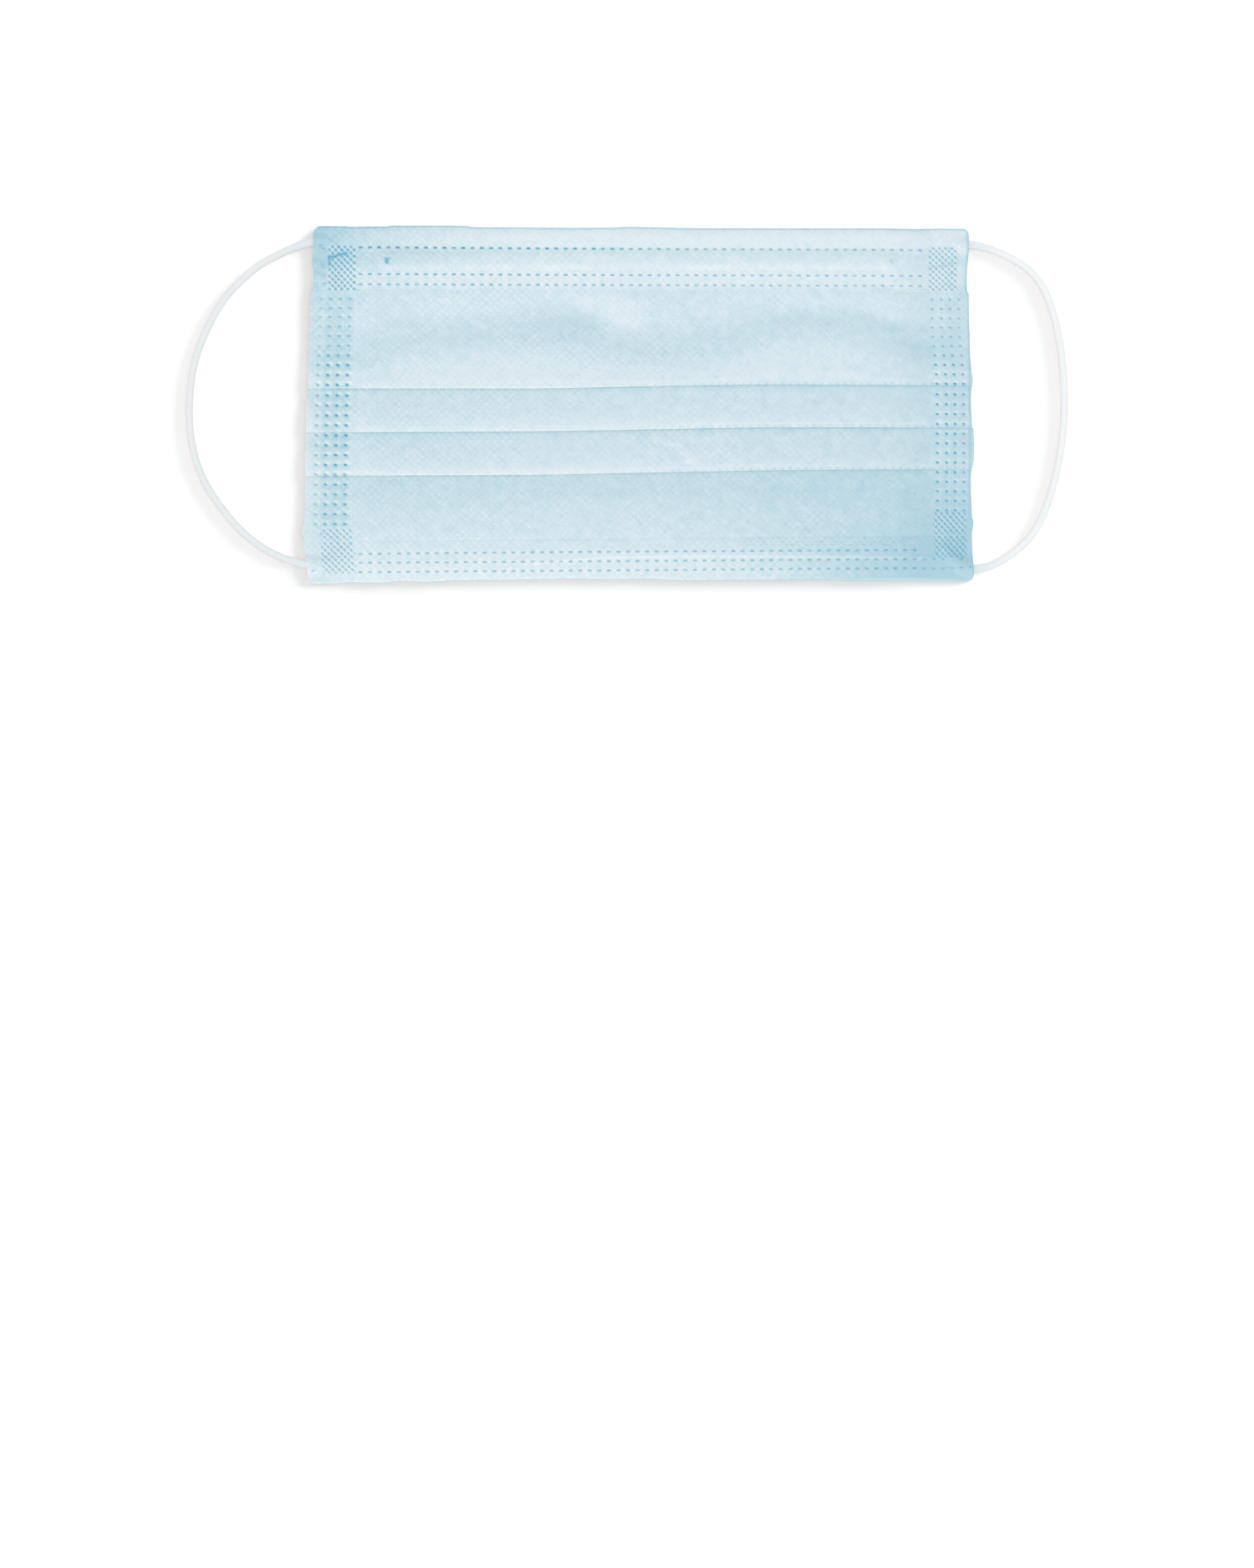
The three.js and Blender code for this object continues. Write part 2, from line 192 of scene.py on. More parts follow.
# spunbond cloth: cos(2 pi (x/p + y/q)) and cos(2 pi (x/p - y/q)) meet in pale bond points, in some places more
# than in others; fibres are noise stretched in three directions; blotches are broad noise
def spunbondGroup():
    tree = bpy.data.node_groups.new("spunbond", "ShaderNodeTree")
    place = addNode(tree, "TexCoord").outputs["Object"]
    large = addNode(tree, "Mapping", {"Vector": place, "Scale": (1 / metre,) * 3}).outputs[0]
    reach, often = spunLook["wander"]
    bend = addNoise(tree, large, often, 2.0, output="Color")
    centred = addNode(tree, "VectorMath", {0: bend, 1: (0.5,) * 3}, operation="SUBTRACT").outputs[0]
    moved = addNode(tree, "VectorMath", {0: centred, 1: (reach,) * 3, 2: large}, operation="MULTIPLY_ADD").outputs[0]
    parts = addNode(tree, "SeparateXYZ", {0: moved})
    across = calculate(tree, "DIVIDE", parts.outputs["X"], spunLook["pitch"][0])
    along = calculate(tree, "DIVIDE", parts.outputs["Y"], spunLook["pitch"][1])
    waves = []
    for operation, amount in zip(("ADD", "SUBTRACT"), spunLook["leans"]):
        phase = calculate(tree, "MULTIPLY", calculate(tree, operation, across, along), 2 * np.pi)
        waves.append(calculate(tree, "MULTIPLY", calculate(tree, "COSINE", phase), amount))
    patchy = addNoise(tree, large, spunLook["patches"], 3.0, 0.6)
    patchy = calculate(tree, "MULTIPLY_ADD", parts.outputs["X"], spunLook["fade"], patchy)
    clear = remap(tree, patchy, spunLook["clear"])
    both = calculate(tree, "ADD", *waves)
    spots = remap(tree, both, spunLook["spot"], interpolation_type="SMOOTHSTEP")
    points = calculate(tree, "MULTIPLY", spots, clear)
    strands = []
    for turned, slow, quick in spunLook["fibres"]:
        lain = addNode(tree, "Mapping", {"Vector": large, "Rotation": (0, 0, turned)}).outputs[0]
        stretched = addNode(tree, "VectorMath", {0: lain, 1: (slow, quick, 1)}, operation="MULTIPLY").outputs[0]
        strands.append(addNoise(tree, stretched, 1.0, 3.0, 0.6))
    both = calculate(tree, "ADD", *strands[:2])
    fibre = calculate(tree, "MULTIPLY", calculate(tree, "ADD", both, strands[2]), 1 / 3)
    blotch = addNoise(tree, large, spunLook["blotches"], 5.0, 0.65)
    height = calculate(tree, "MULTIPLY_ADD", points, spunLook["pointHeight"], fibre)
    out = tree.nodes.new("NodeGroupOutput")
    for name, value in {"Points": points, "Fibre": fibre, "Blotch": blotch, "Height": height}.items():
        tree.interface.new_socket(name, in_out="OUTPUT", socket_type="NodeSocketFloat")
        tree.links.new(value, out.inputs[name])
    return tree


def newMaterial(name):
    made = bpy.data.materials.new(name)
    made.use_nodes = True
    return made, made.node_tree, made.node_tree.nodes["Principled BSDF"]


# bumpFrom: distance is how many metres high 1 is
def bumpFrom(tree, height, distance, strength):
    return addNode(tree, "Bump", {"Height": height, "Distance": distance, "Strength": strength}).outputs[0]


clothLook = {
    "panel": (0.665, 0.756, 0.793, 1),
    "hem": (0.680, 0.765, 0.800, 1),
    # deep: the colour of painted shade, and of the cloth's deeper blue
    "deep": (0.381, 0.577, 0.665, 1),
    "deepest": 1.2,  # the tint that is as deep as that
    "pressed": (0.035, 0.335, 0.505, 1),
    "wool": {"Blotch": (0.5, 0.9), "Fibre": (0.5, 2.0), "Points": (0.2, -0.23)},  # middle, and how much it does
    "rough": {3: 0.92, 4: 0.6},  # plain and pressed
    "shine": 0.25,
    "bump": (0.00012, 0.6),
    "dashPitch": 2.09,  # stitched dashes along the fold edges
    "dash": {1: 0.1, 2: 0.5, 3: 0.35, 4: 1.0},  # how their sine wave becomes their strength
    "dashTint": 0.5,
}


# cloth: the painted shade and tint attribute leads from pale to deep, noise moves it a little, pressed places go to
# their own blue; the deep colour stands for painted shade as well as the cloth's deeper blue
def clothMaterial(name, pale):
    made, tree, shader = newMaterial(name)
    spun = addNode(tree, "Group", node_tree=spunbond)
    share, pressed, fold = (
        addNode(tree, "Attribute", attribute_name=key).outputs["Fac"] for key in ("paintedShadeAndTint", "pressed", "fold")
    )
    for socket, (middle, amount) in clothLook["wool"].items():
        centred = calculate(tree, "SUBTRACT", spun.outputs[socket], middle)
        share = calculate(tree, "MULTIPLY_ADD", centred, amount, share)
    place = addNode(tree, "TexCoord").outputs["Object"]
    across = addNode(tree, "SeparateXYZ", {0: place}).outputs["X"]
    wave = calculate(tree, "SINE", calculate(tree, "MULTIPLY", across, 2 * np.pi / (clothLook["dashPitch"] * metre)))
    dash = remap(tree, wave, clothLook["dash"])
    share = calculate(tree, "MULTIPLY_ADD", calculate(tree, "MULTIPLY", fold, dash), clothLook["dashTint"], share)
    share = remap(tree, share, {2: clothLook["deepest"]})
    colour = mixColours(tree, share, pale, clothLook["deep"])
    colour = mixColours(tree, pressed, colour, clothLook["pressed"])
    rough = remap(tree, pressed, clothLook["rough"])
    bump = bumpFrom(tree, spun.outputs["Height"], *clothLook["bump"])
    shine = clothLook["shine"]
    feed(tree, shader, {"Base Color": colour, "Roughness": rough, "Specular IOR Level": shine, "Normal": bump})
    return made


elasticLook = {
    "thread": (0.920, 0.923, 0.926, 1),
    "gap": (0.660, 0.668, 0.674, 1),
    "paintedBounceColour": (0.690, 0.765, 0.795, 1),  # painted reflection: the blue of the light that comes off the cloth beside it
    "fuzz": (2600.0, 0.5),  # how fine it is, and how far it moves the colour
    "rough": 0.9,
    "shine": 0.25,
    "bump": (0.00005, 0.5),
}


# elastic: the knit attribute leads from gap to thread, with fine noise on top; near the ends it goes to a painted
# reflection of the blue cloth
def elasticMaterial():
    made, tree, shader = newMaterial("knitted elastic")
    knit, paintedBounce = (addNode(tree, "Attribute", attribute_name=key).outputs["Fac"] for key in ("knit", "paintedBounce"))
    place = addNode(tree, "TexCoord").outputs["Object"]
    fine, amount = elasticLook["fuzz"]
    fuzz = addNoise(tree, place, fine, 3.0)
    share = calculate(tree, "MULTIPLY_ADD", calculate(tree, "SUBTRACT", fuzz, 0.5), amount, knit)
    colour = mixColours(tree, share, elasticLook["gap"], elasticLook["thread"])
    colour = mixColours(tree, paintedBounce, colour, elasticLook["paintedBounceColour"])
    bump = bumpFrom(tree, fuzz, *elasticLook["bump"])
    rough, shine = elasticLook["rough"], elasticLook["shine"]
    feed(tree, shader, {"Base Color": colour, "Roughness": rough, "Specular IOR Level": shine, "Normal": bump})
    return made


wireCoat = {"dark": (0.66, 0.69, 0.70, 1), "pale": (0.76, 0.79, 0.80, 1), "fine": 400.0, "rough": {3: 0.35, 4: 0.6}}


# wire: pale plastic round a flat wire, its roughness and colour a little uneven
def wireMaterial():
    made, tree, shader = newMaterial("coated wire")
    place = addNode(tree, "TexCoord").outputs["Object"]
    uneven = addNoise(tree, place, wireCoat["fine"], 4.0)
    colour = mixColours(tree, uneven, wireCoat["dark"], wireCoat["pale"])
    feed(tree, shader, {"Base Color": colour, "Roughness": remap(tree, uneven, wireCoat["rough"])})
    return made


def floorMaterial():
    made, tree, shader = newMaterial("floor")
    grey = light["floor"]["grey"]
    feed(tree, shader, {"Base Color": (grey, grey, grey, 1), "Roughness": 1.0, "Specular IOR Level": 0.0})
    return made


spunbond = spunbondGroup()
panelCloth = clothMaterial("panel cloth", clothLook["panel"])
hemCloth = clothMaterial("hem cloth", clothLook["hem"])
elastic = elasticMaterial()
print("materials made")


# ---- meshes
# newPiece: one mesh object from points in millimetres, faces, and values on the points
def newPiece(name, points, faces, values, material, flatFaces=slice(0)):
    mesh = bpy.data.meshes.new(name)
    mesh.from_pydata(points * metre, [], faces)
    for key, data in values.items():
        mesh.attributes.new(key, "FLOAT", "POINT").data.foreach_set("value", data.astype(np.float32))
    smooth = np.ones(len(mesh.polygons), bool)
    smooth[flatFaces] = False
    mesh.polygons.foreach_set("use_smooth", smooth)
    mesh.materials.append(material)
    mesh.update()
    return addObject(name, mesh)


# gridQuads: the four corners of each cell of a grid, in order
def gridQuads(rows, columns, first=0, turned=False):
    number = first + np.arange(rows * columns).reshape(rows, columns)
    corners = [number[:-1, :-1], number[1:, :-1], number[1:, 1:], number[:-1, 1:]]
    quads = np.stack(corners, -1).reshape(-1, 4)
    return quads[:, ::-1] if turned else quads


# rimFaces: each rim face joins two short edges of the front to one long edge of the back
def rimFaces(front, back):
    return np.stack([front[:-2:2], front[1:-1:2], front[2::2], back[1:], back[:-1]], -1)


# closedSheet: a front grid and a back grid of every second row and column, joined round the rim
def closedSheet(name, front, back, values, material):
    rows, columns = front.shape[:2]
    coarse = back[::2, ::2]
    frontNumber = np.arange(rows * columns).reshape(rows, columns)
    backNumber = rows * columns + np.arange(coarse.shape[0] * coarse.shape[1]).reshape(coarse.shape[:2])
    quads = [gridQuads(rows, columns), gridQuads(*coarse.shape[:2], rows * columns, turned=True)]
    sides = [np.s_[0, :], np.s_[-1, ::-1], np.s_[::-1, 0], np.s_[:, -1]]
    rims = [rimFaces(frontNumber[side], backNumber[side]) for side in sides]
    faces = [face for part in quads + rims for face in part.tolist()]
    count = sum(len(part) for part in quads)
    both = {key: np.concatenate([data.ravel(), data[::2, ::2].ravel()]) for key, data in values.items()}
    points = np.concatenate([front.reshape(-1, 3), coarse.reshape(-1, 3)])
    return newPiece(name, points, faces, both, material, slice(count, len(faces)))


# sheetNormals: across the rows times across the columns, made one long
def sheetNormals(middle):
    down, over = np.gradient(middle, axis=0), np.gradient(middle, axis=1)
    normal = np.cross(down, over)
    return normal / np.linalg.norm(normal, axis=2, keepdims=True)


# ---- ear loops
loopLook = {
    # the left loop is drawn darker than the right, a painted shade
    "left": {"radius": 0.98, "pale": 0.42},
    "right": {"radius": 1.0, "pale": 0.68},
    "ribs": 9,
    "turns": 0.16,  # how far the ribs wind round for each mm, in radians
    "boxed": 0.75,  # below 1 the section's top and bottom are flatter than a circle's
    "flattened": (0.45, 10.5, 17.0),  # the welded ends are pressed flat, and round again this far out
    "wider": 0.2,  # how much wider they would be if pressed to nothing
    "sides": 28,
    "ringStep": 0.22,
    "curveSteps": 24,
    "ribDepth": 0.035,
    "loopPitch": 0.9,
    "loopDepth": 0.02,
    "ribTone": 0.07,
    "loopTone": 0.06,
    "paintedBounce": (0.75, 8.0, 22.0),  # painted reflection of the blue cloth on the ends: how strong it is, and from where to where that fades
}
leftRoute = [
    (-77.9, 39.6), (-80.6, 41.9), (-83.7, 43.0), (-87.0, 42.8), (-91.2, 41.4), (-95.3, 39.5), (-100.0, 36.9),
    (-104.1, 33.6), (-108.2, 29.5), (-111.6, 24.8), (-114.6, 19.0), (-117.0, 12.6), (-118.4, 5.8), (-118.9, -1.7),
    (-118.5, -8.4), (-117.0, -15.2), (-114.6, -21.0), (-110.9, -26.7), (-106.8, -31.8), (-102.1, -36.2),
    (-97.3, -39.3), (-92.6, -41.3), (-88.2, -42.4), (-84.2, -42.5), (-80.9, -41.3), (-78.6, -38.9),
]
rightRoute = [
    (79.0, 37.9), (81.1, 40.4), (84.2, 41.9), (87.9, 42.2), (91.9, 41.4), (96.0, 39.9), (101.2, 37.2),
    (105.1, 33.9), (107.9, 29.5), (109.9, 24.1), (111.6, 16.6), (112.5, 9.9), (112.9, 2.4), (112.8, -4.4),
    (112.1, -11.1), (110.9, -17.9), (109.2, -24.0), (107.2, -29.5), (104.6, -34.3), (100.7, -38.4),
    (96.2, -41.5), (92.2, -43.2), (88.6, -43.6), (85.4, -42.9), (82.8, -41.0), (81.2, -38.3),
]


# blend: straight on from one point to another while t goes from start to end
def blend(first, last, start, end, t):
    return (end - t) / (end - start) * first + (t - start) / (end - start) * last


# roundRoute: a centripetal Catmull-Rom curve through the points, then points at even steps along it
def roundRoute(route, step):
    given = np.array(route, float)
    points = np.vstack([2 * given[0] - given[1], given, 2 * given[-1] - given[-2]])
    share = np.linspace(0, 1, loopLook["curveSteps"], endpoint=False)[None, :, None]
    a, b, c, d = (points[i : len(points) - 3 + i, None, :] for i in range(4))
    knots = [np.zeros_like(a[..., :1])]
    for first, last in ((a, b), (b, c), (c, d)):
        knots.append(knots[-1] + np.linalg.norm(last - first, axis=2, keepdims=True) ** 0.5)
    ta, tb, tc, td = knots
    t = tb + (tc - tb) * share
    ab, bc, cd = blend(a, b, ta, tb, t), blend(b, c, tb, tc, t), blend(c, d, tc, td, t)
    abc, bcd = blend(ab, bc, ta, tc, t), blend(bc, cd, tb, td, t)
    dense = np.vstack([blend(abc, bcd, tb, tc, t).reshape(-1, 2), given[-1]])
    gone = np.concatenate([[0], np.cumsum(np.linalg.norm(np.diff(dense, axis=0), axis=1))])
    even = np.linspace(0, gone[-1], int(round(gone[-1] / step)) + 1)
    return np.stack([np.interp(even, gone, dense[:, 0]), np.interp(even, gone, dense[:, 1])], -1), even


# earLoop: rings round the route; the radius goes up and down with cos(ribs (angle + turns along)) and with rows of
# knitted loops, the section is flatter than a circle, and the ends are domed and pressed flat
def earLoop(name, route, values):
    line, gone = roundRoute(route, loopLook["ringStep"])
    radius, length = values["radius"], gone[-1]
    ahead = np.gradient(line, axis=0)
    ahead /= np.linalg.norm(ahead, axis=1, keepdims=True)
    angle = np.linspace(0, 2 * np.pi, loopLook["sides"], endpoint=False)[None, :]
    along = gone[:, None]
    ribs = np.cos(loopLook["ribs"] * (angle + loopLook["turns"] * along))
    rows = np.cos(2 * np.pi * along / loopLook["loopPitch"] + 2 * np.cos(loopLook["ribs"] * angle))
    size = radius * (1 + loopLook["ribDepth"] * ribs + loopLook["loopDepth"] * rows)
    inset = np.minimum(along, length - along)
    dome = np.sqrt(np.clip(1 - (1 - np.clip(inset / radius, 0, 1)) ** 2, 0.01, 1))
    size = np.minimum(size, radius) * dome
    upward = np.sign(np.sin(angle)) * np.abs(np.sin(angle)) ** loopLook["boxed"]
    least, start, end = loopLook["flattened"]
    flatness = mix((least, 1), ease(start, end, inset))
    half = size * (1 + loopLook["wider"] - loopLook["wider"] * flatness)
    side = np.stack([ahead[:, 1], -ahead[:, 0]], -1)
    flat = line[:, None, :] + side[:, None, :] * (half * np.cos(angle))[..., None]
    points = np.concatenate([flat, (flatness * (radius + size * upward))[..., None]], -1)
    rings, sides = points.shape[:2]
    number = np.arange(rings * sides).reshape(rings, sides)
    after = np.roll(number, -1, axis=1)
    quads = np.stack([number[:-1], number[1:], after[1:], after[:-1]], -1).reshape(-1, 4)
    faces = quads.tolist() + [number[0].tolist(), number[-1, ::-1].tolist()]
    knit = values["pale"] + loopLook["ribTone"] * ribs + loopLook["loopTone"] * rows
    blue, near, far = loopLook["paintedBounce"]
    paintedBounce = blue * (1 - ease(near, far, inset)) + 0 * knit
    made = newPiece(name, points.reshape(-1, 3), faces, {"knit": knit.ravel(), "paintedBounce": paintedBounce.ravel()}, elastic)
    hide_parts(name.replace("_cord", ""))
    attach(made, "root")
    print(name, "length", round(length, 1), "mm")
    return made


loops = [
    earLoop("ear_loop_left_cord", leftRoute, loopLook["left"]),
    earLoop("ear_loop_right_cord", rightRoute, loopLook["right"]),
]


# ---- the mask's outline and what is pressed into it
outline = {
    "left": [  # how far across at each height
        (-47.2, -87.2), (-45.8, -87.4), (-44.4, -87.6), (-41.8, -88), (-39.1, -88.2), (-37.8, -88.5),
        (-35.1, -88.75), (-33.8, -89), (-32.4, -89.05), (-31.6, -88.55), (-28.5, -88.45), (-24.5, -88.35),
        (-13.8, -88.3), (-11.2, -88.15), (-1.9, -88.1), (1.7, -87.9), (3, -87.65), (8.8, -87.5), (11.4, -87.6),
        (14.1, -87.5), (18, -87.2), (22, -87.1), (28.7, -86.95), (30, -86.55), (31.3, -86.1), (35.3, -86),
        (36.7, -86.3), (38, -86.3), (40.6, -86.15), (44.6, -86.1), (46, -85.8), (47.4, -85.6),
    ],
    "right": [
        (-47.2, 88.65), (-44.4, 88.85), (-41.8, 88.65), (-35.1, 88.35), (-33.8, 88.5), (-32.4, 88.75),
        (-31.1, 88.85), (-29.8, 88.48), (-25.8, 88.33), (-20.5, 88.18), (-17.8, 88.33), (-16.5, 88.58),
        (-15.2, 88.93), (-12.5, 89.03), (-7, 88.93), (-5.9, 88.48), (-3.2, 88.38), (0.8, 88.18), (4.8, 88.48),
        (6.1, 88.68), (8.8, 88.38), (11.4, 88.13), (14.1, 87.93), (18, 87.88), (22, 87.68), (28.9, 87.63),
        (30, 87.05), (32.7, 87), (35.3, 87.05), (38, 87.3), (40.6, 87.5), (44.6, 87.55), (47.4, 87.4),
    ],
    "top": [
        (-89, 47), (-78.7, 46.95), (-76, 46.8), (-66.7, 46.8), (-65.4, 47.05), (-45.9, 47), (-43.7, 46.65),
        (-29.5, 46.55), (-16.2, 46.45), (-6.3, 46.55), (-2.9, 46.7), (3.7, 46.6), (17, 46.35), (63.5, 46.3),
        (72.4, 46.2), (80, 46.35), (89, 46.3),
    ],
    "bottom": [
        (-89, -47.43), (-82, -47.38), (-76.5, -47.13), (-69.4, -47.23), (-66, -47.13), (-62.8, -46.68),
        (-59, -46.88), (-56.1, -47.03), (-52, -46.83), (-49.5, -46.53), (-36.2, -46.43), (-16.2, -46.08),
        (-9.6, -46.28), (3.7, -46.18), (10.4, -46.53), (30.3, -46.43), (50.2, -46.33), (56.9, -46.63),
        (70.2, -46.53), (78, -46.73), (89, -46.88),
    ],
    "round": 1.5,
    "corner": 87,
    "reach": 89,
    "sideStart": 75,  # the grid's columns follow the side edges from here out
}
lines = {
    "topHem": [(-89, 30.5), (0, 30.2), (89, 29.85)],
    "fold1": [(-89, 4.2), (-27, 4.2), (0, 4.75), (35, 5.25), (89, 5.05)],
    "fold2": [(-89, -7.45), (-30, -7.15), (0, -6.7), (36, -6.1), (60, -6.1), (89, -6.2)],
    "fold3": [(-89, -18.9), (-30, -18.65), (0, -18.1), (36, -17.45), (60, -17.25), (89, -17.2)],
    "bottomHem": [(-89, -36.3), (0, -35.3), (89, -34.4)],
}
dashes = {
    "top": {
        "rows": [(41.41, 40.9, 40.65), (34.34, 34, 33.83), (31.62, 31.37, 31.18)],  # left, middle, right
        "first": -73.4, "last": 74.9, "pitch": 2.467,
    },
    "bottom": {
        "rows": [(-39.72, -39.1, -38.7), (-42.05, -41.6, -41.05), (-44.53, -44, -43.45)],
        "first": -73.4, "last": 73.3, "pitch": 2.527,
    },
    "sizes": [(0.6, 0.32), (0.54, 0.29), (0.52, 0.3)],  # half the width and height in each row
    "given": 74,  # how far out the heights at the left and right are given
    "soft": ((-0.2, 0.05), (-0.14, 0.08)),  # where their sides fade, from inside to outside
    "ends": (0.9, 1.3),  # a row fades out this far past its last dash
    "uneven": 0.2,
    "chin": 0.8,  # the chin hem's dashes are this strong
    "fainter": (0.4, -35, 35),  # how much fainter the nose hem's are at the right
    "lowerRows": 0.6,  # share of that in the rows under the wire
    "depth": 0.08,
    "pillow": (0.3, -20, 30, 0.75),  # painted highlight: how pale the cloth beside them is drawn, and where it loses how much of that
    "highlightReach": (0.35, 0.55),
    "stray": (0.55, 0.55, 0.3, 0.9),  # strength, half width and height, softness
    "strays": [
        (-84, 42), (-83.3, 41.2), (-83.6, 36.8), (-83.2, 36.1), (-82.8, 31.9), (-86, -44.1),
        (78.3, -41), (80.8, -41), (85.6, -40.9), (75.7, -43.5), (78.2, -43.5), (80.6, -43.5), (83.2, -43.4),
        (85.6, -43.3), (88, -43.1), (75.8, -41.1), (83, 31.6), (83.1, 34.6), (82.9, 37.3), (82.8, 41.1),
    ],
}
dots = {
    "left": {
        "inner": [(-34, -85.4), (-31.6, -85.4), (-15.8, -85.25), (8.1, -84.7), (28.2, -83.9), (30, -83.85)],
        "columns": ((0.05, 0.6), (2.62, 0.95), (5.25, 1), (7.85, 1)),  # place and strength
        "rows": [(-31.66, 23), (-10.83, 15), (2.33, 10), (5.15, 9), (10.4, 7), (20.63, 3), (27.88, 0)],
        "pitch": 2.6,
        "core": (0.52, 0.33, -0.1, -0.08), "lean": 0.4, "hollow": 1, "puff": 1, "tone": 0.2,
    },
    "right": {
        "inner": [(-34, 79.35), (-28, 79.3), (3.3, 79.2), (10.4, 78.8), (20, 77.95), (30, 77.8)],
        "columns": ((0, 1), (2.42, 1), (4.7, 1), (7, 0.85)),
        "rows": [(-28.13, 22), (-18.05, 18), (-5.32, 13), (2.54, 10), (5.35, 9), (10.37, 7), (27.62, 0)],
        "pitch": 2.53,
        "core": (0.42, 0.33, 0, 0), "lean": 0.2, "hollow": 0.45, "puff": 0.35, "tone": 0.06,
    },
    "ends": (0.5, 0.9),
    "strip": (0.6, 2, 8.2, 9.4),  # the bluer cloth round the columns starts and ends there
    "hollowSize": (0.8, 0.62),
    "coreEdge": (0.55, 1.25),
    "bright": ((0.75, 0.7), (0.62, 0.45)),  # painted highlight beside a dot: place and reach across, then upwards
    "depth": (0.09, 0.26),  # in one layer of cloth, and in the pleats
    "colour": (0.56, 0.95),
    "pillow": 0.07,
    # painted highlight: how much paler the puffs beside the dots are drawn
    "paintedPuffHighlight": 0.3,
    "oneLayer": 0.35,  # share of the pillow that one layer of cloth shows
}
lattices = [  # place across and up, pitch, the middle of one cell, slant, stroke, strength
    ((-81.9, -74.7), (30.1, 41.9), (1.625, 1.725), (-80.05, 40.8), 0, 1.06, 1),
    ((76.8, 84.5), (29.8, 41.5), (1.66, 1.56), (78.17, 41.2), 0, 1.06, 0.75),
    ((-84.1, -75.6), (-44.7, -32.9), (1.74, 1.725), (-82.3, -42.98), -0.06, 1.1, 0.72),
    ((78.2, 86.6), (-40.5, -28.6), (1.56, 1.76), (78.8, -34.3), -0.03, 1.1, 0.8),
    ((28, 72), (-37.9, -35.2), (1.7, 1.7), (30, -36.5), 0, 1, 0.22),
]
latticeLook = {"depth": 0.08, "raised": 0.05, "cell": (0.26, 0.42), "ends": (-0.2, 0.3), "colour": 0.62, "pale": 0.6}
grooves = [  # marks that the loops' ends leave through the hems: the line and its strength
    ([(-81.8, 38.9), (-80.4, 39), (-79.2, 39.55), (-77.2, 39.75)], 0.85),
    ([(-81.75, 39.1), (-81.65, 36.8)], 0.75),
    ([(77.8, 36.4), (79.9, 36.4), (81.1, 36.7), (82.4, 36.9)], 0.25),
]
endMarks = [  # the nose wire's ends
    ([(-66.6, 38.3), (-66.45, 37.3)], 0.9),
    ([(-66.8, 38.35), (-65.8, 38.45)], 0.8),
    ([(67, 37.75), (67.35, 37.1)], 0.6),
]
markWidths = {"grooves": 0.4, "endMarks": 0.28}
ridge = {  # a low fold in the chin hem
    "line": [
        (-27.3, -41.9), (-20.7, -41.4), (-8, -40.4), (21.4, -40), (50.2, -40.2), (70.2, -40.5), (78.4, -40.7),
    ],
    "width": 0.4,
    "height": 0.08,
    "pale": (0.25, 0.3),  # how much paler it is, and how far from its line
}
wrinkles = {  # at the left of the nose hem
    "height": 0.07,
    "pitch": 3.7,
    "slant": 0.25,
    "place": (33, 42.5),
    "soft": 2,
    "reach": (-83.2, -81.8),
    "tone": (0.25, 0.2),  # how much deeper in all, and the painted highlight on the crests and painted shade in the troughs
}


# guideAt: the height of a row of dashes, given at its left, middle and right
def guideAt(places, x):
    return curveAt([(way * dashes["given"], place) for way, place in zip((-1, 0, 1), places)], x)


# stitchesAt: how far each point is pressed: dashes are boxes with soft sides and uneven strength, other marks are soft
# spots and lines; and a painted highlight on the cloth between the dashes
def stitchesAt(x, y):
    hollow, pale = np.zeros_like(x), np.zeros_like(x)
    (amount, whole, less, loss), (faint, full, gone) = dashes["pillow"], dashes["fainter"]
    (inX, outX), (inY, outY) = dashes["soft"]
    besideX, besideY = dashes["highlightReach"]
    for side in ("top", "bottom"):
        rows = dashes[side]
        place = (x - rows["first"]) / rows["pitch"]
        away = np.abs(place - np.round(place)) * rows["pitch"]
        within = between(rows["first"], rows["last"], *dashes["ends"], x)
        for number, places in enumerate(rows["rows"]):
            width, height = dashes["sizes"][number if side == "top" else 1]
            off = np.abs(y - guideAt(places, x))
            box = (1 - ease(width + inX, width + outX, away)) * (1 - ease(height + inY, height + outY, off))
            strength = 1 - dashes["uneven"] * (0.5 + 0.5 * np.sin(2.7 * np.round(place) + 2 * number))
            if side == "top":
                strength = strength * (1 - faint * ease(full, gone, x) * (1 if number == 0 else dashes["lowerRows"]))
            else:
                strength = strength * dashes["chin"]
            hollow = np.maximum(hollow, box * within * strength)
            if side == "bottom" or number > 0:
                beside = ease(width, width + besideX, away) * hill(off, besideY) * within
                pale = np.maximum(pale, amount * (1 - loss * ease(whole, less, x)) * beside)
    strength, wide, high, soft = dashes["stray"]
    for px, py in dashes["strays"]:
        hollow = np.maximum(hollow, strength * hill(np.hypot((x - px) / wide, (y - py) / high), soft))
    for marks, width in ((endMarks, markWidths["endMarks"]), (grooves, markWidths["grooves"])):
        for line, strength in marks:
            hollow = np.maximum(hollow, strength * hill(distanceTo(line, x, y), width))
    return hollow, pale


# latticeAt: a = u + v and b = u - v are whole numbers in the middle of each pressed diamond; raised lines between
def latticeAt(x, y):
    found, raised = np.zeros_like(x), np.zeros_like(x)
    for (x0, x1), (y0, y1), (wide, high), (centreX, centreY), slant, stroke, keep in lattices:
        lean = slant * (y - y1)
        u, v = (x - centreX - lean) / wide, (y - centreY) / high
        da, db = (np.abs(w - np.round(w)) for w in (u + v, u - v))
        cell = 1 - ease(*latticeLook["cell"], np.maximum(da * stroke, db / stroke))
        inside = between(x0, x1, *latticeLook["ends"], x - lean) * between(y0, y1, *latticeLook["ends"], y)
        found = np.maximum(found, keep * inside * cell)
        raised = np.maximum(raised, keep * inside * (1 - cell))
    return found, raised
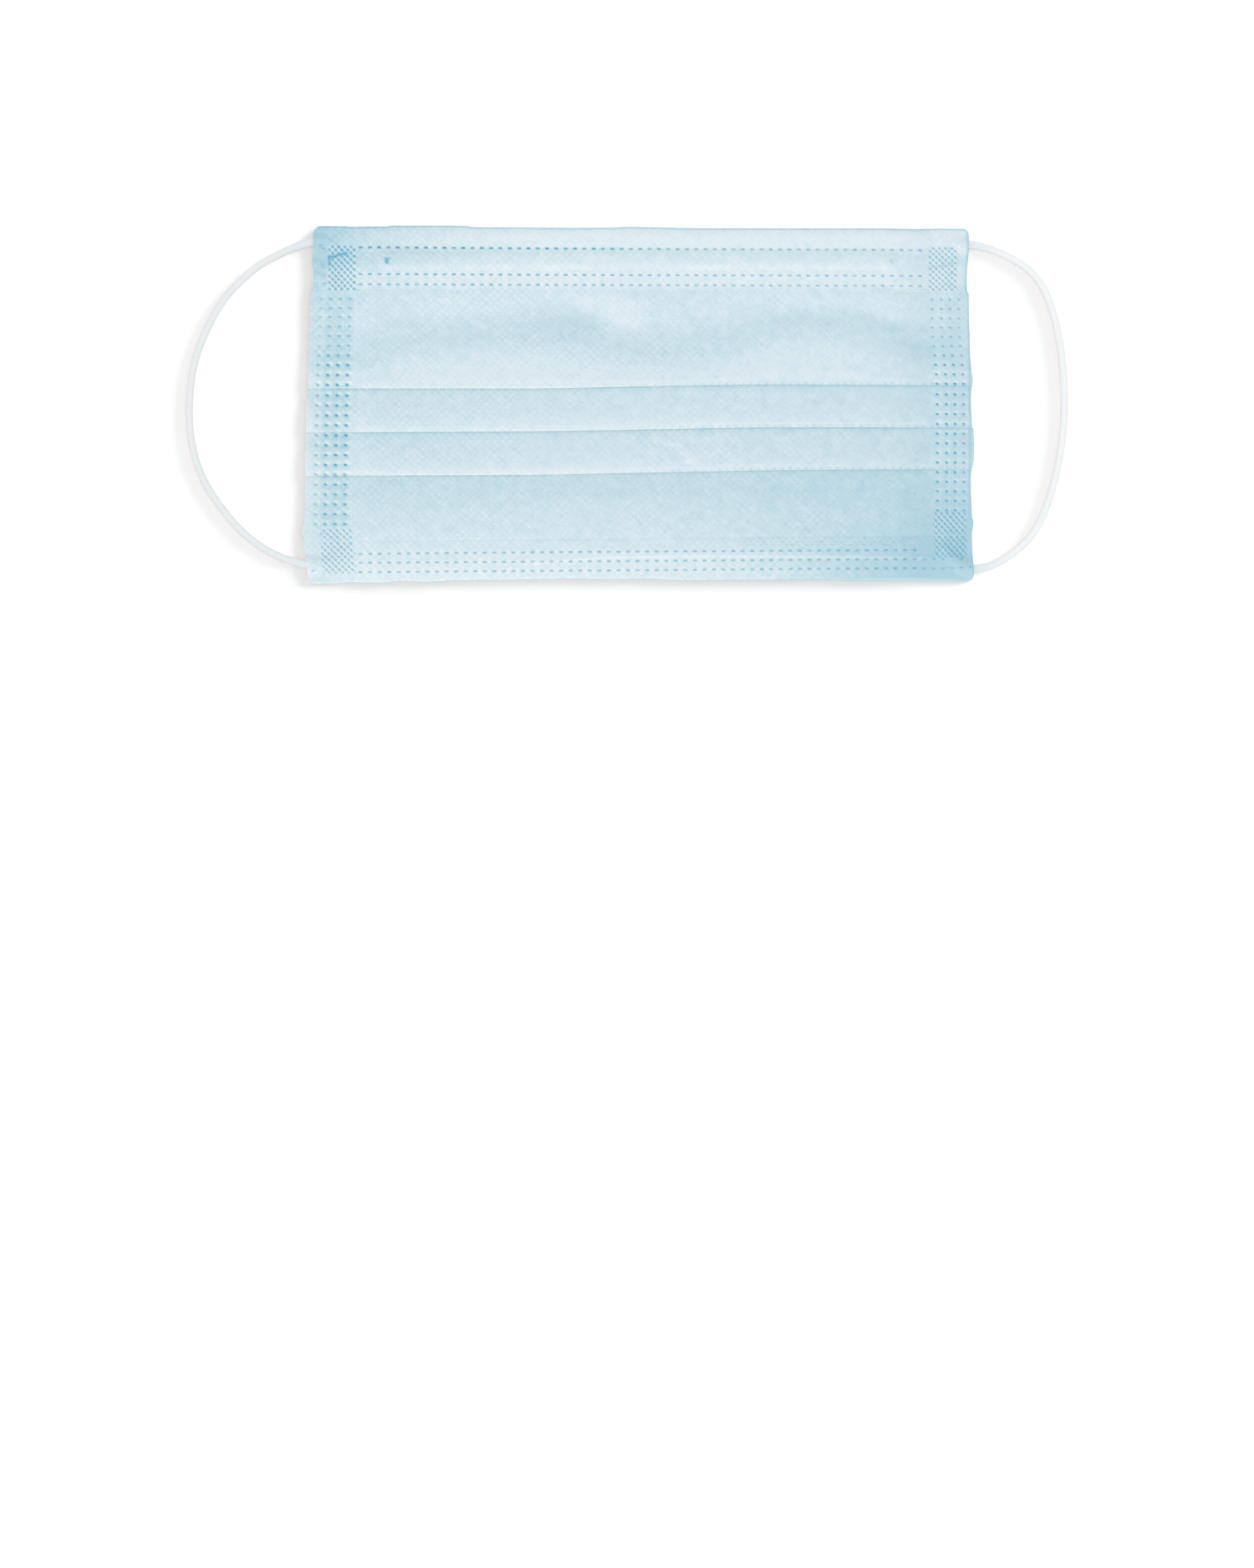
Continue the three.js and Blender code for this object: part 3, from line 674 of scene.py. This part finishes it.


# dotsAt: a soft hollow for each dot, its blue core set off and leaning to one side, which also paints the shade on
# the hollow's wall, and a painted highlight above and to the right
def dotsAt(x, y):
    hollow, core, puff, tone = (np.zeros_like(x) for _ in range(4))
    (brightX, reachX), (brightY, reachY) = dots["bright"]
    stripStart, stripFull, stripLess, stripEnd = dots["strip"]
    for side in ("left", "right"):
        values = dots[side]
        wide, high, offX, offY = values["core"]
        last, first = values["rows"][0][0], values["rows"][-1][0]
        within = between(last, first, *dots["ends"], y)
        row = np.interp(y, *np.array(values["rows"]).T)
        away = -(row - np.round(row)) * values["pitch"] + np.maximum(y - first, 0) + np.minimum(y - last, 0)
        start = curveAt(values["inner"], y)
        for column, strength in values["columns"]:
            beside, share = x - start - column, within * strength
            dent = hill(np.hypot(beside / dots["hollowSize"][0], away / dots["hollowSize"][1]), 1)
            hollow = np.maximum(hollow, values["hollow"] * dent * share)
            mark = np.hypot((beside - offX + values["lean"] * (away - offY)) / wide, (away - offY) / high)
            core = np.maximum(core, (1 - ease(*dots["coreEdge"], mark)) * share)
            bright = hill(np.hypot((beside - brightX) / reachX, (away - brightY) / reachY), 1)
            puff = np.maximum(puff, values["puff"] * bright * share)
        zone = ease(stripStart, stripFull, x - start) * (1 - ease(stripLess, stripEnd, x - start))
        tone += values["tone"] * within * zone
    return hollow, core, puff, tone


pleated = {"below": 0.65, "start": (-22, -17), "end": (11, 15)}


# pleatedAt: 1 where the pleats lie under the weld, less below them, 0 where one layer does
def pleatedAt(y):
    return mix((pleated["below"], 1), ease(*pleated["start"], y)) * (1 - ease(*pleated["end"], y))


# reliefAt: height out of the cloth, share of the pressed colour, and how much deeper the cloth's blue is drawn,
# painted highlights and painted shade beside the marks among it
def reliefAt(x, y):
    (stitched, dashHighlights), (welded, raised) = stitchesAt(x, y), latticeAt(x, y)
    hollow, core, puff, tone = dotsAt(x, y)
    pleats = pleatedAt(y)
    puff = puff * mix((dots["oneLayer"], 1), pleats)
    height = -dashes["depth"] * stitched - latticeLook["depth"] * welded - mix(dots["depth"], pleats) * hollow
    height += dots["pillow"] * puff + latticeLook["raised"] * raised
    colour = np.maximum(stitched, latticeLook["colour"] * welded)
    colour = np.maximum(colour, core * mix(dots["colour"], pleats))
    fold = distanceTo(ridge["line"], x, y)
    height += ridge["height"] * hill(fold, ridge["width"])
    pale, aside = ridge["pale"]
    tone = tone - dots["paintedPuffHighlight"] * puff - latticeLook["pale"] * raised - dashHighlights
    tone = tone - pale * hill(fold - aside, ridge["width"])
    near = (1 - ease(*wrinkles["reach"], x)) * between(*wrinkles["place"], 0, wrinkles["soft"], y)
    wave = np.sin(2 * np.pi * (y + wrinkles["slant"] * x) / wrinkles["pitch"])
    height += wrinkles["height"] * near * wave
    # painted highlight on the wrinkles' crests and painted shade in their troughs
    inAll, onCrests = wrinkles["tone"]
    return height, colour, tone + near * (inAll - onCrests * wave)


# ---- how the cloth lies
lie = {
    "thickness": 0.42,
    "thinner": 0.38,  # share that the sides' welds take off it
    "crest": 2.9, "under": 2.45, "low": 2, "floor": 0.3,
    "innerFold": (1.85, 1.4),  # the hidden fold's two layers
    "underlap": 6, "foldReach": 0.4, "hemReach": 0.55,
    "squeeze": (68, 80, 0.42), "edgeSqueeze": (80, 89, 0.18),
    "loopWidths": (1.6, 2.2, 3.2), "loopTop": 0.95, "layerGap": 0.31, "lowest": 0.22, "join": 0.1,
    "yields": 0.9,  # share of a hollow that the back follows
    "aboveFloor": 0.02,
    "wire": {"place": 38.1, "lift": 0.27, "half": (0.9, 3.2), "ends": (66.6, 69)},
    "paintedFoldShadeBlue": (0.2, 0.66, 0.8),  # painted shade under the folds: share of the pressed blue, where the tone passes from one to the other
    "weldPale": (0.5, 69, 87, 0.3, 0.7),  # share of the tone lost at the sides, from where to where, in which tones
    "freeEdge": (0.14, 1.6),  # a hem's free edge is this share as thick, and full this far in
}
# each table: share of the way down a stretch of cloth, and its height
hemToFold = [
    (0, 2.5), (0.12, 2.38), (0.24, 2.2), (0.32, 2.12), (0.48, 2.16), (0.64, 2.34), (0.8, 2.62), (0.9, 2.8),
    (0.96, 2.9), (1, 2.9),
]
foldToFold = [(0, 2), (0.12, 2.02), (0.3, 2.12), (0.6, 2.5), (0.85, 2.82), (0.95, 2.91), (1, 2.9)]
foldToHem = [(0, 2), (0.12, 2.02), (0.35, 2.1), (0.65, 2.25), (0.9, 2.45), (1, 2.5)]
topFront = [(0, 2.36), (0.06, 2.47), (0.15, 2.54), (0.35, 2.6), (0.6, 2.64), (0.8, 2.6), (1, 2.53)]
bottomFront = [(0, 2.4), (0.09, 2.53), (0.3, 2.59), (0.6, 2.58), (0.85, 2.48), (1, 2.34)]
insideTop = [(0, 1.3), (0.35, 1.9), (0.85, 2.05), (1, 2.5)]
insideBottom = [(0, 2.5), (0.18, 2.05), (0.7, 1.85), (1, 1.3)]
creases = [  # start, end, half width, height
    ((-22.5, 27.5), (-10, 22.6), 3.2, -0.15), ((-10, 22.6), (0, 18), 3.6, -0.2), ((-26, 21.5), (-8, 20.5), 2.6, 0.14),
    ((38, 23.6), (50, 22.9), 2.2, -0.12), ((60, 25), (67, 21.4), 2, -0.17), ((67, 21.4), (82, 20.6), 2, -0.14),
    ((74, 16.4), (78, 15.5), 1.8, -0.1), ((9, -11), (13, -16), 0.8, -0.36), ((13.5, -12), (15, -16), 1.4, 0.2),
    ((21.9, 0.8), (30.3, -30.2), 1.6, 0.06), ((-60, 14), (-20, 17), 3.5, 0.12), ((-50, -27), (10, -25), 4, 0.12),
    ((30, -26), (75, -28), 3.5, 0.12),
]
# the hollow under the nose hem lies higher or lower along the mask: place across, and share of the way down
hollowShift = [
    (-89, 0.2), (-76, 0.2), (-58, -0.02), (-36, -0.05), (-27, -0.07), (-11, 0.02), (-1, 0.11), (16, 0.09),
    (32, -0.08), (39, -0.16), (54, -0.15), (66, -0.02), (79, 0.11), (89, 0.11),
]


# swellAt: the sum of long soft hills and hollows beside short lines
def swellAt(x, y):
    total = np.zeros_like(x)
    for start, end, width, height in creases:
        total += height * hill(distanceTo([start, end], x, y), width)
    return total


# settle: layers draw together towards the floor at both sides, and lie over the loops' ends
def settle(x, y, z, layer):
    out = np.abs(x)
    low, high, amount = lie["squeeze"]
    edgeLow, edgeHigh, edgeAmount = lie["edgeSqueeze"]
    keep = 1 - amount * ease(low, high, out) - edgeAmount * ease(edgeLow, edgeHigh, out)
    z = lie["floor"] + (z + (swellAt(x, y) if layer else 0) - lie["floor"]) * keep
    inside = [leftRoute[:5], leftRoute[-5:], rightRoute[:5], rightRoute[-5:]]
    near = np.min([distanceTo(line, x, y) for line in inside], axis=0)
    lift = lie["loopTop"] * hill(near, lie["loopWidths"][layer])
    return smoothMax(z, lift + lie["lowest"] + lie["layerGap"] * layer, lie["join"])


def thicknessAt(x):
    return lie["thickness"] * (1 - lie["thinner"] * ease(*lie["squeeze"][:2], np.abs(x)))


# sideColumns: nominal places from the left edge to the right, close together where the weld strips are
def sideColumns(middle, count):
    strip = np.linspace(outline["reach"], outline["sideStart"], count + 1)
    return np.concatenate([-strip[:-1], middle, strip[:-1][::-1]])


# spreadColumns: beyond sideStart a column keeps its share of the way to the side edge, which is round at the corners
def spreadColumns(columns, y, inset=0.0):
    start = outline["sideStart"]
    share = np.clip((np.abs(columns) - start) / (outline["reach"] - start), 0, 1)
    placed, radius = np.broadcast_to(columns, y.shape).copy(), outline["round"]
    for side, sign in (("left", -1), ("right", 1)):
        edge = np.abs(curveAt(outline[side], y)) - inset
        for border, way in (("top", 1), ("bottom", -1)):
            away = way * (curveAt(outline[border], sign * outline["corner"]) - y)
            depth = np.clip(1 - away / radius, 0, 1)
            edge = edge - radius * (1 - np.sqrt(1 - depth**2))
        mine = sign * columns > start
        placed = np.where(mine, sign * (start + (edge - start) * share), placed)
    return placed


# stretch: rows of cloth, their heights and tone, whether they show, and how much they are a fold's dashed edge
def stretch(y, z, tone=0.4, seen=0, fold=0):
    return {"y": y, "z": z + 0 * y, "tone": tone + 0 * y, "seen": seen + 0 * y, "fold": fold + 0 * y}


# run: even steps from one line to another, heights and blue, painted shade among it, looked up by the share of the
# way; the tables' middle is moved by up to shift, which shows as 4 s (1 - s) of it at the share s
def run(first, last, count, heights, tones=((0, 0.4), (1, 0.4)), shift=0, seen=0):
    share = np.arange(count)[:, None] / count
    y = first + (last - first) * share
    moved = np.clip(share - 4 * shift * share * (1 - share), 0, 1) + 0 * y
    return stretch(y, curveAt(heights, moved), curveAt(tones, moved), seen)


# turn: half an ellipse from one height to another round a folded edge, cos for the height and sin for the reach
def turn(edge, reach, start, end, count, tones=((0, 0.4), (1, 0.4)), seen=0, fold=0):
    share = np.arange(count)[:, None] / count
    y = edge - reach * (1 - np.sin(np.pi * share))
    z = (start + end) / 2 + (start - end) / 2 * np.cos(np.pi * share)
    return stretch(y, z, curveAt(tones, share), seen, fold)


# shapeSheet: lays the grid, offsets half the thickness both ways, and presses the front; the back yields with it.
# Near a free edge only the back moves, up towards the front. The tone is the rows' own, less at the sides, and what
# the marks and broad patches add, painted shade and painted highlights among them; under a fold the cloth takes some
# of the pressed colour as a bluer painted shade.
def shapeSheet(name, columns, parts, lay, inset, material, freeEdge=None):
    rows = {key: np.concatenate([part[key] for part in parts]) for key in parts[0]}
    if rows["y"].shape[0] % 2 == 0:
        rows = {key: np.concatenate([data, data[-1:]]) for key, data in rows.items()}
        rows["y"][-1] = 2 * rows["y"][-2] - rows["y"][-3]
    y, seen = rows["y"], rows["seen"]
    x = spreadColumns(columns, y, inset)
    middle = np.stack([x, y, lay(x, y, rows["z"])], -1)
    normal = sheetNormals(middle)
    relief, colour, deeper = reliefAt(x, y)
    half = thicknessAt(x) / 2
    front = middle + normal * (half + relief * seen)[..., None]
    yielded = np.minimum(relief * seen, 0)
    for axis in (0, 1):
        yielded = np.minimum(yielded, np.minimum(np.roll(yielded, 1, axis), np.roll(yielded, -1, axis)))
    least, reach = lie["freeEdge"]
    thinned = 1 if freeEdge is None else mix((least, 1), ease(0, reach, np.abs(y - freeEdge)))
    back = middle - normal * (half * (2 * thinned - 1) - yielded * lie["yields"])[..., None]
    back[..., 2] = np.maximum(back[..., 2], lie["aboveFloor"])
    amount, low, high = lie["paintedFoldShadeBlue"]
    pressed = np.maximum(colour, amount * ease(low, high, rows["tone"])) * seen
    loss, start, end, low, high = lie["weldPale"]
    own = rows["tone"] * (1 - loss * ease(start, end, np.abs(x)) * ease(low, high, rows["tone"]))
    rim = seam["tone"] * hill(distanceTo(seam["line"], x, y), seam["width"])
    paintedShadeAndTint = own + paintedShadeAndTintAt(x, y) + (deeper + rim) * seen
    made = closedSheet(name, front, back, {"pressed": pressed, "paintedShadeAndTint": paintedShadeAndTint, "fold": rows["fold"]}, material)
    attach(made, "root")
    return made


# tone tables: share of the way down a stretch of cloth, and how deep its blue is drawn; mostly painted shade,
# deepest just under each fold and where a fold's edge or the chin turns under, palest towards the next crest
topHemTone = [
    (0, 0.1), (0.1, 0.02), (0.26, 0), (0.34, 0.18), (0.44, 0.3), (0.52, 0.26), (0.62, 0.2), (0.74, 0.14),
    (0.9, 0.2), (0.97, 0.32), (1, 0.45),
]
upperTone = [
    (0, 0.5), (0.03, 0.42), (0.08, 0.36), (0.3, 0.47), (0.48, 0.58), (0.64, 0.44), (0.8, 0.16), (0.94, 0.08),
    (1, 0.1),
]
pleatTone = [
    (0, 0.8), (0.04, 0.76), (0.08, 0.68), (0.13, 0.56), (0.22, 0.44), (0.5, 0.28), (0.8, 0.14), (0.96, 0.04),
    (1, 0.06),
]
lowerTone = [(0, 0.74), (0.025, 0.72), (0.06, 0.68), (0.3, 0.6), (0.6, 0.45), (0.85, 0.33), (1, 0.26)]
bottomHemTone = [(0, 0.26), (0.3, 0.3), (0.6, 0.2), (0.88, 0.18), (0.96, 0.2), (1, 0.3)]
# painted shade: the dark line where a fold's edge turns under
foldEdgeShade = [(0, 0.15), (0.3, 0.4), (0.6, 0.8), (1, 0.8)]
chinTone = [(0, 0.34), (0.5, 0.85), (1, 0.85)]
seam = {  # the darker line just inside the right edge
    "line": [
        (87.1, 45.5), (87.2, 40.6), (86.75, 35), (86.7, 30.6), (87.5, 29), (87.75, 10), (87.95, -10), (87.85, -28),
        (88.3, -45),
    ],
    "width": 0.32,
    "tone": 0.7,
}
paintedShadeAndTints = [  # place, reach, amount; painted shade, painted highlights and broad deeper or paler places
    ((-88, 47), (34, 12), 0.75), ((88, -46), (46, 15), 1.15), ((-88, 0), (14, 60), 0.34), ((88, -5), (14, 60), 0.3),
    ((-88.5, -15), (2.6, 38), -0.4), ((-78, 36), (4, 6), 0.15), ((60, -25), (40, 12), 0.17),
    ((62, -6), (34, 14), -0.02), ((-60, -8), (20, 14), 0.1), ((-70, 38), (26, 3), 0.12), ((-86, 37), (4, 9), 0.25),
    ((-4.3, 21.3), (4.5, 4.5), -0.3), ((-11, 27), (8, 3.2), -0.12), ((-18, 19), (12, 3.5), 0.14),
    ((84, -44), (8, 5), 0.3), ((-84, 45), (8, 4), 0.2), ((66, 8), (36, 4.5), 0.12), ((66, -4), (36, 4.5), 0.16),
    ((66, -15), (36, 4.5), 0.12), ((62, 24), (5, 2.2), -0.05), ((76, 14.5), (7, 2.5), 0.16),
    ((15.5, -14), (3, 3), -0.14), ((-52, 25), (9, 3), -0.1),
]


# the sum of a few broad soft places where the cloth is drawn deeper or paler; those beside the creases of the upper
# panel are painted shade and painted highlights
def paintedShadeAndTintAt(x, y):
    total = np.zeros_like(x)
    for (px, py), (rx, ry), amount in paintedShadeAndTints:
        total += amount * hill(np.hypot((x - px) / rx, (y - py) / ry), 1)
    return total


def lineAt(name, columns):
    return curveAt(lines[name], columns)[None, :]


panelLook = {
    "middleStep": 1.6, "stripColumns": 52, "rowStep": 0.24, "hiddenStep": 0.8, "inset": 0.12,
    "inTopHem": (44.6, 14),  # where the cloth ends inside the hem, and about how long it is there
    "inBottomHem": (-45.2, 10),
    "turnRows": (6, 3),  # rows round a fold, and how many of them show
    "over": 0.3,  # a pleat starts this far above the fold that lies over it
    "stitched": (-25, 40),  # the fold edges' dashes grow clearer between these places
}


def layPanel(x, y, z):
    return settle(x, y, z, 1)


# panel: down from inside the top hem, three folds that each turn back under themselves, and on into the bottom hem
def pleatedPanel():
    start = outline["sideStart"]
    middle = np.linspace(-start, start, int(2 * start / panelLook["middleStep"]) // 2 * 2 + 1)
    columns = sideColumns(middle, panelLook["stripColumns"])
    step, hidden = panelLook["rowStep"], panelLook["hiddenStep"]
    reach, under, inner = lie["foldReach"], lie["underlap"], lie["innerFold"]
    hem, chin = lineAt("topHem", columns), lineAt("bottomHem", columns)
    folds = [lineAt("fold%d" % n, columns) for n in (1, 2, 3)]
    (top, topLength), (bottom, bottomLength) = panelLook["inTopHem"], panelLook["inBottomHem"]
    (around, showing), over = panelLook["turnRows"], panelLook["over"]
    dotted = ease(*panelLook["stitched"], columns)[None, :]
    parts = [run(0 * hem + top, hem, int(topLength / hidden), insideTop)]
    above, heights, tones, shift = hem, hemToFold, upperTone, curveAt(hollowShift, columns)[None, :]
    for fold in folds:
        count = int(float(np.max(above - fold)) / step)
        parts += [run(above, fold + reach, count, heights, tones, shift, 1)]
        parts += [turn(fold, -reach, lie["crest"], lie["under"], around, foldEdgeShade, 1, dotted)]
        parts[-1]["seen"][showing:] = 0
        parts += [run(fold + reach, fold + under, int(under / hidden), [(0, lie["under"]), (1, inner[0])])]
        parts += [turn(fold + under + reach, reach, *inner, around)]
        parts += [run(fold + under, fold + over, int(under / hidden), [(0, inner[1]), (1, lie["low"])])]
        above, heights, tones, shift = fold + over, foldToFold, pleatTone, 0
    count = int(float(np.max(above - chin)) / step)
    parts += [run(above, chin, count, foldToHem, lowerTone, 0, 1)]
    parts += [run(chin, 0 * chin + bottom, int(bottomLength / hidden), insideBottom)]
    made = shapeSheet("panel_cloth", columns, parts, layPanel, panelLook["inset"], panelCloth)
    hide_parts("pleated_panel")
    return made


hemLook = {
    "stripColumns": 48,
    "dashColumns": (-0.62, -0.42, 0.42, 0.62, 1.23),
    "fine": 0.16, "plain": 0.25, "beside": 0.8,  # steps near the dashes and elsewhere, and how near
    "backStep": 0.55, "shorter": 0.7,  # the back ends this much before the front
    "lengths": {"top": 15, "bottom": 11},  # about how long each back is
    "turnRows": 8,
    "front": (1.2, 2),  # between these heights the back becomes the front
}


# dashColumns: five columns for each dash, at its two ends and between it and the next
def dashColumns(rows):
    count = int(round((rows["last"] - rows["first"]) / rows["pitch"]))
    centres = rows["first"] + rows["pitch"] * np.arange(count + 1)
    middle = (centres[:, None] + np.array(hemLook["dashColumns"])[None, :]).ravel()
    start = outline["sideStart"]
    middle = middle[np.abs(middle) < start - 0.05]
    middle = np.concatenate([[-start], middle, [start]])
    return middle if len(middle) % 2 else np.insert(middle, 1, (middle[0] + middle[1]) / 2)


# frontRows: steps between guide lines, fine ones beside the dash rows; heights and blue, painted shade among it, by
# the share of the whole way
def frontRows(first, last, guides, heights, tones):
    stops = [first]
    for guide in guides:
        beside = hemLook["beside"] * np.sign(np.mean(first - guide))
        stops += [guide + beside, guide - beside]
    stops += [last]
    steps = []
    for number, (a, b) in enumerate(zip(stops[:-1], stops[1:])):
        step = hemLook["fine"] if number % 2 else hemLook["plain"]
        count = max(2, int(round(float(np.max(np.abs(a - b))) / step)))
        steps.append(a + (b - a) * np.arange(count)[:, None] / count)
    y = np.concatenate(steps + [last])
    share = (y - first) / (last - first)
    return stretch(y, curveAt(heights, share), curveAt(tones, share), 1)


# wireRidge: a low flat-topped ridge where the hem passes over the nose wire
def wireRidge(x, y):
    wire = lie["wire"]
    off = np.abs(y - wire["place"])
    return wire["lift"] * (1 - ease(*wire["half"], off)) * (1 - ease(*wire["ends"], np.abs(x)))


# layHem: the back of a hem is the lowest layer and its front the highest
def layHem(x, y, z):
    front = ease(*hemLook["front"], z)
    raised = z + wireRidge(x, y) * front
    return settle(x, y, raised, 0) * (1 - front) + settle(x, y, raised, 2) * front


# hemLines: a hem's columns, its free edge, its folded edge and its rows of dashes
def hemLines(side):
    columns = sideColumns(dashColumns(dashes[side]), hemLook["stripColumns"])
    guides = [guideAt(places, columns)[None, :] for places in dashes[side]["rows"]]
    return columns, lineAt(side + "Hem", columns), curveAt(outline[side], columns)[None, :], guides


def hemBack(first, last, side):
    level = [(0, lie["floor"]), (1, lie["floor"])]
    return run(first, last, int(hemLook["lengths"][side] / hemLook["backStep"]), level)


# top hem: up its back, round the top edge, and down its front over the wire to the free edge
def foldedTopHem():
    columns, edge, top, guides = hemLines("top")
    reach, around = lie["hemReach"], hemLook["turnRows"]
    parts = [hemBack(edge + hemLook["shorter"], top - reach, "top")]
    parts += [turn(top, reach, lie["floor"], topFront[0][1], around, [(0, 0), (1, 0.1)], 1)]
    parts += [frontRows(top - reach, edge, guides, topFront, topHemTone)]
    made = shapeSheet("top_hem_cloth", columns, parts, layHem, 0, hemCloth, edge)
    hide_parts("top_hem")
    return made


# bottom hem: down its front, round the chin edge and up its back
def foldedBottomHem():
    columns, edge, chin, guides = hemLines("bottom")
    reach, around = lie["hemReach"], hemLook["turnRows"]
    front = frontRows(edge, chin + reach, guides, bottomFront, bottomHemTone)
    parts = [{key: data[:-1] for key, data in front.items()}]
    parts += [turn(chin, -reach, bottomFront[-1][1], lie["floor"], around, chinTone, 1)]
    parts += [hemBack(chin + reach, edge - hemLook["shorter"], "bottom")]
    made = shapeSheet("bottom_hem_cloth", columns, parts, layHem, 0, hemCloth, edge)
    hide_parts("bottom_hem")
    return made


cloth = [pleatedPanel(), foldedTopHem(), foldedBottomHem()]

wireLook = {"length": 133.6, "width": 3.2, "thickness": 0.42, "height": 2.41, "thinner": 0.4, "steps": (9, 135)}


# nose wire: a flat strip between the hem's layers, thinner by thinner v^6 towards its two long sides
def noseWire():
    rows, columns = wireLook["steps"]
    v, u = np.meshgrid(np.linspace(1, -1, rows), np.linspace(-1, 1, columns), indexing="ij")
    half = wireLook["thickness"] / 2 * (1 - wireLook["thinner"] * v**6)
    x, y = u * wireLook["length"] / 2, lie["wire"]["place"] + v * wireLook["width"] / 2
    front, back = (np.stack([x, y, wireLook["height"] + way * half], -1) for way in (1, -1))
    made = closedSheet("nose_wire_strip", front, back, {}, wireMaterial())
    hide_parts("nose_wire")
    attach(made, "root")
    return made


wire = noseWire()
print("nose wire laid")

floorMesh = bpy.data.meshes.new("floor")
reach = light["floor"]["reach"]
corners = [(x * reach, y * reach, 0) for x, y in ((-1, -1), (1, -1), (1, 1), (-1, 1))]
floorMesh.from_pydata(corners, [], [(0, 1, 2, 3)])
floorMesh.materials.append(floorMaterial())
floor = addObject("floor", floorMesh)


# limitLight: only some pieces receive a sun's light, and only some pieces block it
def limitLight(name, **pieces):
    for kind, chosen in pieces.items():
        group = bpy.data.collections.new(name + " " + kind)
        for piece in chosen:
            group.objects.link(piece)
        setattr(suns[name].light_linking, kind + "_collection", group)


limitLight("key", receiver=[floor])
limitLight("rest", receiver=[floor], blocker=cloth)
limitLight("fill", receiver=cloth + [wire])
limitLight("wash", receiver=[floor] + loops, blocker=[floor])
print("floor laid")
